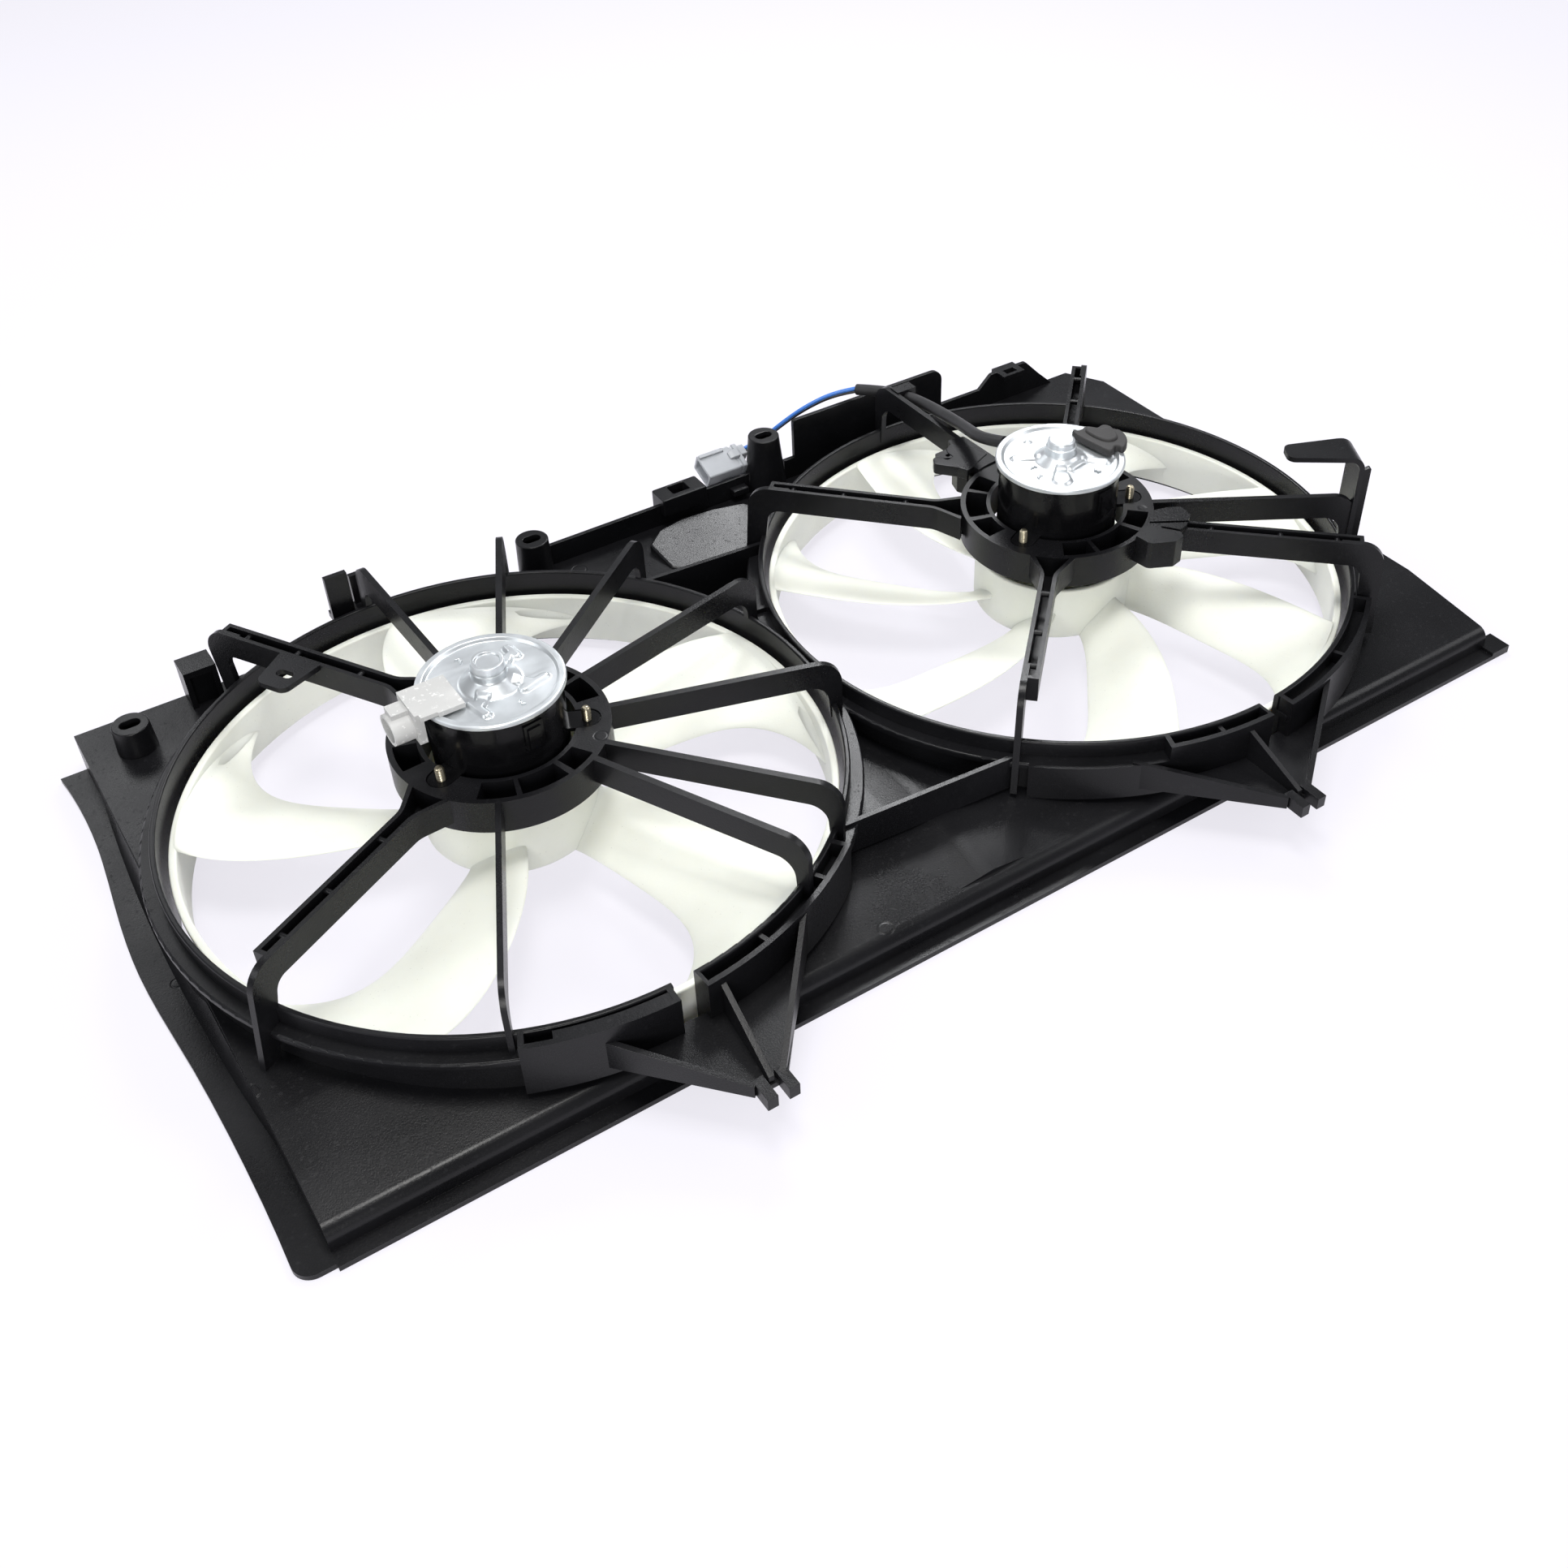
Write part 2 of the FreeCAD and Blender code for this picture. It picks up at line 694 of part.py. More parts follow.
def back_rail(others):
    """Raised back wall with its tall cable guard and latch loops."""
    low = pan_flat_z
    end = pan_right - 31 - pan_middle
    outline = [
        (-69, low), (-69, -13, 3), (116, -13), (116, 14, 2), (234, 14, 8), (234, -13), (end - 64, -13),
        (end - 54, -4, 3), (end - 24, -4, 3), (end - 12, -16), (end, low),
    ]
    wall = upright(outline, rail_wall, V(pan_middle, pan_back - rail_wall, 0), 0)
    parts = [wall, latch_tab(pan_middle + 32, -7), latch_tab(pan_right - 71, -4)]
    body = joined(parts)
    for other in others:
        body = body.cut(other)
    return sorted(body.Solids, key=lambda solid: -solid.Volume)[:2]


def cable_guides(others):
    """Small upright guides on the rings: twin tabs, latch post and cable clip."""
    y = ring_skirt_r + 2.0
    tabs = [
        block(V(-24, y, pan_flat_z), V(-11, y + 3.4, 22)),
        block(V(-9, y + 5, pan_flat_z), V(2, y + 8.4, 15)),
        block(V(-24, y, -8), V(2, y + 8.4, -4)),
    ]
    post = [
        block(V(-111, pan_back - 15, pan_flat_z), V(-108, pan_back, -3)),
        block(V(-96, pan_back - 15, pan_flat_z), V(-93, pan_back, -3)),
        block(V(-111, pan_back - 15, -7), V(-93, pan_back + 1, -3)),
    ]
    groups = [joined(tabs), joined(post)]
    made = []
    for group in groups:
        for other in others:
            group = group.cut(other)
        made.append(group)
    return made


def harness_hook(others):
    """Upright strip on the right ring that bends over into a tongue."""
    angle = -29.3
    start = polar(RIGHT, ring_bore + 1, angle)
    outline = [
        (0, -6), (0, hook_rise - hook_thick, 6), (-hook_reach, hook_rise - hook_thick),
        (-hook_reach, hook_rise), (hook_thick, hook_rise, 9), (hook_thick, -6),
    ]
    strip = upright(outline, hook_width, start, angle)
    rib = upright([(hook_thick - 1, -6), (hook_thick - 1, 42, 1), (hook_thick + 8, 46, 1),
                   (hook_thick + 8, -6)], 3.0, start, angle)
    half = hook_width / 2
    tip = hook_tip / 2
    keep = prism([(-hook_reach, -tip, 5), (-8, -half), (40, -half), (40, half), (-8, half),
                  (-hook_reach, tip, 5)], -20, hook_rise + 10)
    keep.rotate(V(0, 0, 0), UP, angle)
    keep.translate(V(start.x, start.y, 0))
    body = joined([strip, rib]).common(keep)
    for other in others:
        body = body.cut(other)
    return body


def cross_ribs(others):
    """Upright webs that tie the two rings together."""
    ribs = []
    back = ring_bore - 64
    front = 46 - ring_bore
    for start, end, top in ((V(-45, back, 0), V(59, back - 8, 0), -2.0),
                            (V(-61, front, 0), V(59, front - 9, 0), -7.0),
                            (V(-13, 52, 0), V(17, 48, 0), -6.0)):
        start.x += pan_middle
        end.x += pan_middle
        run = end.sub(start)
        heading = math.degrees(math.atan2(run.y, run.x))
        rib = upright([(0, pan_flat_z), (0, top), (run.Length, top), (run.Length, pan_flat_z)],
                      pan_wall, start, heading)
        for other in others:
            rib = rib.cut(other)
        ribs.append(main_piece(rib))
    return ribs


def lead_boot(plate_z):
    """Moulded exit on the right motor's case from which its lead starts."""
    z = plate_z - 7.0
    start = SLEEVE_ROUTE[0]
    heading = math.degrees(math.atan2(start.y - RIGHT.y, start.x - RIGHT.x))
    reach = math.hypot(start.y - RIGHT.y, start.x - RIGHT.x) - 1.2
    return upright([(can_r - 1, z - 5.5), (can_r - 1, z + 3.5), (reach, z + 3.5, 1.0),
                    (reach, z - 5.5, 1.0)], 12.0, RIGHT, heading)


def motor_can(centre, plate_z, mount_top):
    """Deep-drawn motor case with a bearing boss below and three screw ears."""
    top = plate_z - plate_thick
    low = top - can_depth
    inner = can_r - can_wall
    pocket = bush_r + fit
    outline = [
        (shaft_r + 1.5, low - can_boss_depth), (can_boss_r, low - can_boss_depth, 1.5),
        (can_boss_r, low), (can_r, low, 4.0), (can_r, top - 2.5), (can_r + can_lip, top - 2.5),
        (can_r + can_lip, top), (inner, top), (inner, low + can_wall, 2.0),
        (pocket, low + can_wall), (pocket, low - can_boss_depth + 1.6),
        (shaft_r + 1.5, low - can_boss_depth + 1.6),
    ]
    body = revolved(outline, V(centre.x, centre.y, 0))
    ear_low = mount_top - pad_drop
    pieces = [body]
    if centre is RIGHT:
        pieces.append(lead_boot(plate_z))
    for width, proud, low_gap, high_gap in ((10.5, 1.0, 22.0, 6.5), (7.0, 1.9, 20.5, 9.0)):
        pieces.append(upright([(can_r - 1, plate_z - low_gap), (can_r - 1, plate_z - high_gap),
                               (can_r + proud, plate_z - high_gap), (can_r + proud, plate_z - low_gap)],
                              width, centre, can_pad_angle))
    for angle in screw_angles:
        tip = polar(centre, screw_circle, angle)
        ear = cylinder(ear_width / 2, ear_low, ear_low + ear_thick, tip)
        ear = ear.fuse(upright([(can_r - 1, ear_low), (can_r - 1, ear_low + ear_thick),
                                (screw_circle, ear_low + ear_thick), (screw_circle, ear_low)],
                               ear_width, centre, angle))
        pieces.append(ear.cut(cylinder(2.6, ear_low - 1, ear_low + 4, tip)))
    return joined(pieces)


def end_plate(centre, plate_z, bosses):
    """Pressed end plate with a raised rim, bearing cup and stiffening embosses."""
    low = plate_z - plate_thick
    pocket = bush_r + fit
    cup_top = plate_z + cup_height
    outline = [
        (pocket, low), (plate_r, low), (plate_r, plate_z, 0.8), (plate_r - 3.2, plate_z, 0.5),
        (plate_r - 4.2, plate_z - plate_rim), (cup_r + cone_run, plate_z - plate_rim, 1.5),
        (cup_r, plate_z + cone_rise, 0.8), (cup_r, cup_top, 1.2), (0, cup_top),
        (0, cup_top - 1.2), (pocket, cup_top - 1.2),
    ]
    body = revolved(outline, V(centre.x, centre.y, 0))
    pieces = [body]
    face = plate_z - plate_rim
    for angle, start, margin, width in bosses:
        end = plate_r - margin
        pieces.append(upright([(start, face - 0.6), (start, face + 1.0, 0.4), (end, face + 1.0, 0.4),
                               (end, face - 0.6)], width, centre, angle))
    return joined(pieces)


def magnets(centre, low):
    """Two curved field magnets against the case."""
    outer = can_r - can_wall - seat
    inner = outer - magnet_thick
    made = []
    for start in (20, 200):
        made.append(sector(inner, outer, low, low + stack_length + 6, start, start + 140, centre))
    return made


def rotor_core(centre, low):
    """Slotted stack of laminations on the shaft."""
    outer = can_r - can_wall - seat - magnet_thick - air_gap
    body = tube(shaft_r + fit, outer, low, low + stack_length, centre)
    for i in range(rotor_slots):
        angle = i * 360 / rotor_slots
        slot = upright([(outer - 9, low - 1), (outer - 9, low + stack_length + 1),
                        (outer + 1, low + stack_length + 1), (outer + 1, low - 1)],
                       3.0, centre, angle)
        body = body.cut(slot)
    return body


def windings(centre, low):
    """Wound coil ends above and below the stack."""
    outer = can_r - can_wall - magnet_thick - 5
    made = []
    for start in (low - winding_length, low + stack_length):
        inner = shaft_r + 4
        outline = [(inner, start, 1.5), (outer, start, 2.4), (outer, start + winding_length, 2.4),
                   (inner, start + winding_length, 1.5)]
        made.append(revolved(outline, V(centre.x, centre.y, 0)))
    return made


def brush_card(centre, low):
    """Round card that holds the two carbon brushes over the commutator."""
    high = low + 2.0
    card = tube(commutator_r + 3, can_r - can_wall - seat, low, high, centre)
    pieces = [card]
    for angle in (0, 180):
        reach = can_r - can_wall - 6
        holder = upright([(commutator_r + 4, low), (commutator_r + 4, high + 4),
                          (reach, high + 4), (reach, low)], 9.0, centre, angle)
        channel = upright([(commutator_r + 2, high), (commutator_r + 2, high + 3),
                           (reach - 2, high + 3), (reach - 2, high)], 6.2, centre, angle)
        pieces.append(holder.cut(channel))
    return joined(pieces)


def brushes(centre, low):
    """Two carbon brushes that ride on the commutator."""
    made = []
    for angle in (0, 180):
        start = commutator_r + 0.2
        made.append(upright([(start, low + 0.1), (start, low + 2.9), (start + 11, low + 2.9),
                             (start + 11, low + 0.1)], 6.0, centre, angle))
    return made


def commutator(centre, low):
    """Copper commutator with its segment slots."""
    body = tube(shaft_r + fit, commutator_r, low, low + commutator_length, centre)
    for i in range(rotor_slots):
        angle = (i + 0.5) * 360 / rotor_slots
        body = body.cut(upright([(commutator_r - 1, low + 1.5), (commutator_r - 1, low + 20),
                                 (commutator_r + 1, low + 20), (commutator_r + 1, low + 1.5)],
                                0.6, centre, angle))
    return body


def shaft(centre, plate_z):
    """Motor shaft with a threaded stud below the fan."""
    high = plate_z + cup_height - 2.0
    low = fan_hub_bottom
    stud_low = low - stud_below_hub
    return revolved([(0, stud_low), (stud_r, stud_low, 0.6), (stud_r, low + 2), (shaft_r, low + 2),
                     (shaft_r, high, 0.6), (0, high)], V(centre.x, centre.y, 0))


def bushes(centre, plate_z):
    """The two sintered bushes that carry the shaft."""
    low = plate_z - plate_thick - can_depth - can_boss_depth + 1.6
    high = plate_z + cup_height - 1.2 - bush_length
    inner = shaft_r + fit
    return [tube(inner, bush_r, low, low + bush_length, centre),
            tube(inner, bush_r, high, high + bush_length, centre)]


def screws(centre, mount_top):
    """Three screws from below through pad and ear, with their tips showing."""
    made = []
    head_high = mount_top - mount_height
    for angle in screw_angles:
        at = polar(centre, screw_circle, angle)
        head_low = head_high - screw_head_height
        tip_high = mount_top + screw_tip
        outline = [(0, head_low), (screw_head_r, head_low, 1.0), (screw_head_r, head_high),
                   (screw_r, head_high), (screw_r, tip_high, 0.6), (0, tip_high)]
        made.append(revolved(outline, V(at.x, at.y, 0)))
    return made


def blade(centre, sweep, turn):
    """One twisted blade: a curved sheet over hub-to-band stations, thickened."""
    rows = []
    steps = 6
    inner = fan_hub_r - 2.0
    outer = fan_band_r - fan_band_wall + 1.0
    for station, low_angle, high_angle in sweep:
        radius = inner + (outer - inner) * station
        row = []
        for j in range(steps + 1):
            share = j / steps
            angle = low_angle + (high_angle - low_angle) * share + turn
            rise = blade_low_z + (blade_high_z - blade_low_z) * share
            rise += blade_camber * 4 * share * (1 - share)
            row.append(polar(centre, radius, angle, rise))
        rows.append(row)
    surface = Part.BSplineSurface()
    surface.interpolate(rows)
    return surface.toShape().extrude(V(0, 0, -blade_thick))


FIVE_BLADE_SWEEP = [
    (0.0, 143.0, 182.5), (0.22, 143.5, 179.0), (0.402, 143.5, 175.5), (0.584, 142.0, 171.5),
    (0.75, 138.5, 168.0), (0.883, 132.5, 165.0), (1.0, 121.0, 161.0),
]
SEVEN_BLADE_SWEEP = [
    (0.0, 150.5, 183.0), (0.22, 145.0, 174.0), (0.402, 141.0, 168.0), (0.584, 138.5, 162.0),
    (0.75, 136.0, 157.5), (0.883, 132.0, 154.5), (1.0, 125.0, 152.0),
]


def fan(centre, sweep, count):
    """Banded fan: hub cup, ribs, twisted blades and outer band in one moulding."""
    band_low = fan_band_top - fan_band_depth
    band = [
        (fan_band_r - fan_band_wall, band_low, 0.8), (fan_band_r, band_low, 0.8),
        (fan_band_r, fan_band_top - 3, 0), (fan_band_r + 1.4, fan_band_top - 3, 0.5),
        (fan_band_r + 1.4, fan_band_top, 0.8), (fan_band_r - fan_band_wall, fan_band_top, 1.0),
    ]
    inner = fan_hub_r - fan_hub_wall
    floor = fan_hub_bottom + fan_hub_wall
    hub = [
        (shaft_r + fit, fan_hub_bottom), (fan_hub_r, fan_hub_bottom, 4.0), (fan_hub_r, fan_hub_top, 0.8),
        (inner, fan_hub_top, 0.8), (inner, floor, 2.0), (fan_boss_r, floor, 2.0),
        (fan_boss_r, fan_boss_top), (shaft_r + fit, fan_boss_top),
    ]
    wheel = revolved(band, centre)
    for i in range(count):
        wheel = wheel.fuse(blade(centre, sweep, i * 360 / count))
    pieces = [revolved(hub, centre)]
    for i in range(hub_ribs):
        pieces.append(upright([(fan_boss_r - 1, floor - 1), (fan_boss_r - 1, fan_boss_top - 4),
                               (inner + 1, floor + 6), (inner + 1, floor - 1)],
                              2.2, centre, (i + 0.5) * 360 / hub_ribs))
    return wheel.fuse(joined(pieces)).removeSplitter()


def fan_nut(centre):
    """Flanged hexagon nut that holds the fan on its stud."""
    high = fan_hub_bottom
    flange = cylinder(8.0, high - 2.0, high, centre)
    hexagon = [(nut_flat_r * math.cos(math.radians(60 * i)), nut_flat_r * math.sin(math.radians(60 * i)))
               for i in range(6)]
    body = prism([(x + centre.x, y + centre.y) for x, y in hexagon], high - 2 - nut_height, high - 1)
    return joined([flange, body]).cut(cylinder(stud_r + fit, high - 20, high + 1, centre))


def motor_socket():
    """Socket on the left motor: a flat foot on the plate and an oval barrel."""
    z = left_plate_z
    edge = -plate_r
    face = edge - 6.0
    foot = block(V(edge + 4.5, -13, z), V(edge + 18, 13, z + 2.6))
    bridge = block(V(face + 2, -12, z + 0.2), V(edge + 6, 13, z + 2.6))
    cheek = block(V(face, -9, z - 15), V(edge - 1.9, 13, z + 2.6))
    axis = z - 8.5
    barrel = oval_bar(V(face, 2, axis), 9.4, 7.4, -socket_reach)
    hollow = oval_bar(V(face - 2, 2, axis), 7.6, 5.6, -socket_reach)
    key = block(V(face - socket_reach + 2, -1, axis + 5), V(face + 1, 8.2, axis + 9.6))
    body = joined([foot, bridge, cheek, barrel, key]).cut(hollow)
    pins = [block(V(face - socket_reach + 3, y, axis - 0.5), V(face + 0.5, y + 1.8, axis + 0.5))
            for y in (-1.6, 3.8)]
    return joined([body] + pins)


def oval_bar(at, half_y, half_z, length):
    """Bar of oval section along X."""
    ellipse = Part.Ellipse(V(at.x, at.y, at.z), half_y, half_z)
    ellipse.Axis = V(1, 0, 0)
    ellipse.XAxis = V(0, 1, 0)
    return Part.Face(Part.Wire([ellipse.toShape()])).extrude(V(length, 0, 0))


def grommet():
    """Rubber cover over the lead's way into the right motor."""
    z = right_plate_z
    outline = []
    for angle, past in ((34, -10.5), (25, -6.5), (17, -0.5), (6, 6.5), (-7, 4.5), (-19, 6.5), (-30, 1.5),
                        (-34, -4.5), (-28, -10.5), (-6, -14.5), (18, -14.5)):
        p = polar(RIGHT, plate_r + past, angle)
        outline.append((p.x, p.y, 1.6))
    return prism(outline, z, z + 4.5)


def cord_tube(route, radius, offset, name):
    """Round lead along straight runs joined by tangent arcs."""
    points = [p.add(offset) for p in route]
    edges = []
    last = points[0]
    for i in range(1, len(points) - 1):
        point = points[i]
        back = points[i - 1].sub(point)
        ahead = points[i + 1].sub(point)
        shorter = min(back.Length, ahead.Length)
        reach = 0.45 * shorter
        half_turn = (math.pi - back.getAngle(ahead)) / 2
        bend = reach / math.tan(half_turn)
        print(name, "bend radius", round(bend, 1))
        start = point.add(back.normalize().multiply(reach))
        end = point.add(ahead.normalize().multiply(reach))
        inward = start.add(end).multiply(0.5).sub(point).normalize()
        middle = point.add(inward.multiply(bend / math.cos(half_turn) - bend))
        edges.append(Part.makeLine(last, start))
        edges.append(Part.Arc(start, middle, end).toShape())
        last = end
    edges.append(Part.makeLine(last, points[-1]))
    path = Part.Wire(edges)
    heading = points[1].sub(points[0])
    disc = Part.Wire([Part.makeCircle(radius, points[0], heading)])
    body = path.makePipeShell([disc], True, True)
    print(name, "volume", round(body.Volume), "section times length",
          round(math.pi * radius * radius * path.Length))
    return body


def lead_plug():
    """Connector on the right motor's lead, held behind the back wall."""
    at = WIRE_ROUTE[-1]
    low = V(at.x - 44, at.y - 9, at.z - 9)
    high = V(at.x, at.y + 8.5, at.z + 6)
    shell = block(low, high)
    shell = shell.makeFillet(1.6, [e for e in shell.Edges if abs(e.Vertexes[0].Y - e.Vertexes[1].Y) < 0.1
                                   and abs(e.Vertexes[0].Z - e.Vertexes[1].Z) < 0.1])
    shell = shell.cut(block(V(low.x - 1, low.y + 2, low.z + 2), V(low.x + 22, high.y - 2, high.z - 2)))
    latch = block(V(low.x + 8, low.y + 4.5, high.z), V(low.x + 28, high.y - 4.5, high.z + 2.4))
    collar = block(V(high.x - 10, low.y - 1.1, low.z - 1), V(high.x - 6, high.y + 1.2, high.z + 1.2))
    clip = block(V(low.x + 12, pan_back - rail_wall / 2, low.z - 2), V(low.x + 22, low.y + 1, low.z + 8))
    body = joined([shell, latch, collar, clip])
    at, top, top_r, foot_r = BOSSES[-1]
    return body.cut(cylinder(foot_r + seat, pan_flat_z, top + 1, at))


def named_parts():
    """Every node of the assembly with its solids."""
    nodes = {}
    left_pan, right_pan = pan()
    left_side, right_side = halves()
    left_ring = fan_ring(LEFT, left_side, [(-114, -91, 0), (-87, -52, 0)], -88.7,
                         (-104, -75, -60))
    right_ring = fan_ring(RIGHT, right_side, [(-133, -109, ledge_z), (-110, -90, 0), (-86, -50, 0)],
                          -88.3, (-100, -68))
    left_pan = left_pan.cut(left_ring)
    right_pan = right_pan.cut(right_ring)
    nodes["shroud_pan_left"] = [left_pan]
    nodes["shroud_pan_right"] = [right_pan]
    nodes["fan_ring_left"] = [left_ring]
    nodes["fan_ring_right"] = [right_ring]
    moulding = [left_pan, right_pan, left_ring, right_ring]
    post_solids = [boss(*spec) for spec in BOSSES]
    nodes["radiator_bolt_bosses"] = post_solids
    left_arms = arms(LEFT, LEFT_ARMS, left_top, moulding)
    right_arms = arms(RIGHT, RIGHT_ARMS, right_top, moulding)
    left_arms[0] = joined([left_arms[0], lug()])
    claw = harness_claw().cut(cylinder(mount_r, 0, right_top + 9, RIGHT))
    right_arms[1] = joined([right_arms[1], claw, sleeve_clip()])
    latch = arm_latch().cut(cylinder(mount_r, 0, right_top + 9, RIGHT))
    right_arms[4] = joined([right_arms[4], latch])
    nodes["front_rail_arm_left"] = [left_arms[-1]]
    nodes["mount_arms_left"] = left_arms[:-1]
    nodes["mount_arms_right"] = right_arms
    nodes["motor_mount_left"] = [motor_mount(LEFT, left_top, LEFT_POCKETS)]
    nodes["motor_mount_right"] = [motor_mount(RIGHT, right_top, RIGHT_POCKETS)]
    left_fork = V(14.0, -(outer_wall_r + fork_reach), 0)
    right_fork = V(RIGHT.x - 15.7, left_fork.y, 0)
    nodes["radiator_fork_left"] = [radiator_bracket(LEFT, (-103, -84, -66), left_fork, moulding)]
    nodes["radiator_fork_right"] = [radiator_bracket(RIGHT, (-116, -95, -74), right_fork, moulding)]
    filled = [cylinder(foot_r, pan_flat_z, top, at) for at, top, top_r, foot_r in BOSSES]
    nodes["back_wall"] = back_rail(moulding + filled + right_arms)
    nodes["cross_ribs"] = cross_ribs(moulding + left_arms + right_arms)
    nodes["cable_guides"] = cable_guides(moulding + left_arms)
    nodes["harness_hook"] = [harness_hook(moulding + right_arms)]
    return nodes


def motor_parts(nodes, side, centre, plate_z, mount_top, embosses, sweep, count):
    """Nodes of one motor and its fan."""
    low = plate_z - plate_thick - can_depth + can_wall
    stack_low = low + 9.0
    card_low = plate_z - plate_thick - 9.0
    nodes["motor_can_" + side] = [motor_can(centre, plate_z, mount_top)]
    nodes["motor_end_plate_" + side] = [end_plate(centre, plate_z, embosses)]
    nodes["motor_magnets_" + side] = magnets(centre, stack_low - 3)
    nodes["motor_bushes_" + side] = bushes(centre, plate_z)
    nodes["brush_card_" + side] = [brush_card(centre, card_low)]
    nodes["carbon_brushes_" + side] = brushes(centre, card_low + 2.0)
    nodes["motor_screws_" + side] = screws(centre, mount_top)
    nodes["armature_core_" + side] = [rotor_core(centre, stack_low)]
    nodes["armature_windings_" + side] = windings(centre, stack_low)
    nodes["commutator_" + side] = [commutator(centre, card_low - 1.0)]
    nodes["motor_shaft_" + side] = [shaft(centre, plate_z)]
    nodes["fan_" + side] = [fan(centre, sweep, count)]
    nodes["fan_nut_" + side] = [fan_nut(centre)]


def main():
    """Build every node, move the origin and write one file per node."""
    nodes = named_parts()
    star = [(30, 10, 6.5, 7.0), (150, 10, 10.5, 6.0), (-90, 10, 7.5, 7.0), (90, 12, 14.5, 5.0)]
    cross = [(0, 16, 8.5, 5.0), (90, 16, 10.5, 5.0), (180, 16, 8.5, 5.0), (-90, 16, 9.5, 9.0),
             (45, 14, 14.5, 5.0)]
    motor_parts(nodes, "left", LEFT, left_plate_z, left_top, star, FIVE_BLADE_SWEEP, 5)
    motor_parts(nodes, "right", RIGHT, right_plate_z, right_top, cross, SEVEN_BLADE_SWEEP, 7)
    nodes["motor_socket_left"] = [motor_socket()]
    nodes["lead_grommet_right"] = [grommet()]
    nodes["lead_sleeve"] = [cord_tube(SLEEVE_ROUTE, sleeve_r, V(0, 0, 0), "sleeve")]
    sleeve = nodes["lead_sleeve"][0]
    for name, offset in (("blue", V(0, -0.9, 1.5)), ("black", V(0, 0.9, -1.5))):
        wire = cord_tube(WIRE_ROUTE, wire_r, offset, name + " wire")
        nodes["lead_wire_" + name] = [main_piece(wire.cut(sleeve))]
    nodes["lead_plug"] = [lead_plug()]

    whole = Part.makeCompound([s for solids in nodes.values() for s in solids]).BoundBox
    shift = V(-(whole.XMin + whole.XMax) / 2, -(whole.YMin + whole.YMax) / 2, -whole.ZMin)
    print("shift", shift.x, shift.y, shift.z, "size", whole.XLength, whole.YLength, whole.ZLength)
    os.makedirs("parts", exist_ok=True)
    for name, solids in nodes.items():
        shape = solids[0] if len(solids) == 1 else Part.makeCompound(solids)
        shape.translate(shift)
        if not shape.isValid():
            print("invalid", name)
        print(name, "solids", len(shape.Solids), "volume", round(shape.Volume / 1000, 2))
        shape.exportStep("parts/" + name + ".step")


main()
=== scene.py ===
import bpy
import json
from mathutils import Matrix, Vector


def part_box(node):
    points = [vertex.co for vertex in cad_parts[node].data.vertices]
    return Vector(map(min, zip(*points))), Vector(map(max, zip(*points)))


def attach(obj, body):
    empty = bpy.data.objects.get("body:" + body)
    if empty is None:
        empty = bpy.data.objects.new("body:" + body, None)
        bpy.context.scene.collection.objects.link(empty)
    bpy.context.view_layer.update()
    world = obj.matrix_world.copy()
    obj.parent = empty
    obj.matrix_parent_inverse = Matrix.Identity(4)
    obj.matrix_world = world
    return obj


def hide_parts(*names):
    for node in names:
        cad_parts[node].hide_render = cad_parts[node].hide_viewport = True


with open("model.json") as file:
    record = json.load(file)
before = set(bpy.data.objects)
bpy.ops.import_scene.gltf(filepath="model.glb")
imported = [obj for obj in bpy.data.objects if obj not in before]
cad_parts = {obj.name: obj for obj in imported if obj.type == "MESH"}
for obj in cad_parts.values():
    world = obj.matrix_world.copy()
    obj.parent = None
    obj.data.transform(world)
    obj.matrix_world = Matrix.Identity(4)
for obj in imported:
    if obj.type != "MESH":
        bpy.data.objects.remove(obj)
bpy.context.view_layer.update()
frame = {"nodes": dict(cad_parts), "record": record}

"""Twin radiator cooling fan, dressed for a studio picture.

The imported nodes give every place. Mouldings get their rounded edges here, and the
fans, end plates, screws, terminal cover, connector and lead are worked out again as
smooth surfaces. Lengths are millimetres in the classes of pieces, and metres in the
lead, the finishes and the studio; meshes are written in metres.
"""
import json
import logging
import math
from dataclasses import dataclass
from enum import Enum
from typing import Dict, List, Optional, Sequence, Tuple, Union

import bmesh
import bpy
import numpy as np
from mathutils import Matrix, Vector

log = logging.getLogger("cooling_fan")

MM = 0.001
TURN = 2.0 * math.pi
NODE_MERGE = 0.000002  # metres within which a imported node's corners are one
GRID_MERGE = 0.00001  # and those of a grid made here
SOFT_CREASE = 38.0  # degrees above which an edge stays sharp: on smooth plastic,
FORMED_CREASE = 50.0  # on small mouldings and pressed sheet,
THREAD_CREASE = 60.0  # and on threads
Colour = Tuple[float, float, float]
Point = Tuple[float, float, float]
Plan = Tuple[float, float]
Corner = Tuple[float, float, float]


class Slot(Enum):
    """Material slots of the record that the pieces take their finish from."""

    MOULDING = "black_moulding"
    CASE = "motor_case"
    PLATE = "end_plate"
    FERRITE = "ferrite"
    BRONZE = "sintered_bronze"
    CARD = "phenolic_card"
    CARBON = "carbon"
    SCREW = "yellow_zinc_screw"
    SOCKET = "grey_socket"
    COVER = "rubber_cover"
    SLEEVE = "lead_sleeve"
    BLUE = "blue_insulation"
    BLACK = "black_insulation"
    FAN = "natural_fan_plastic"
    STEEL = "ground_steel"
    LAMINATION = "lamination_steel"
    COPPER = "copper_winding"
    PLUG = "clear_grey_plug"


# ---------------------------------------------------------------- shader maths


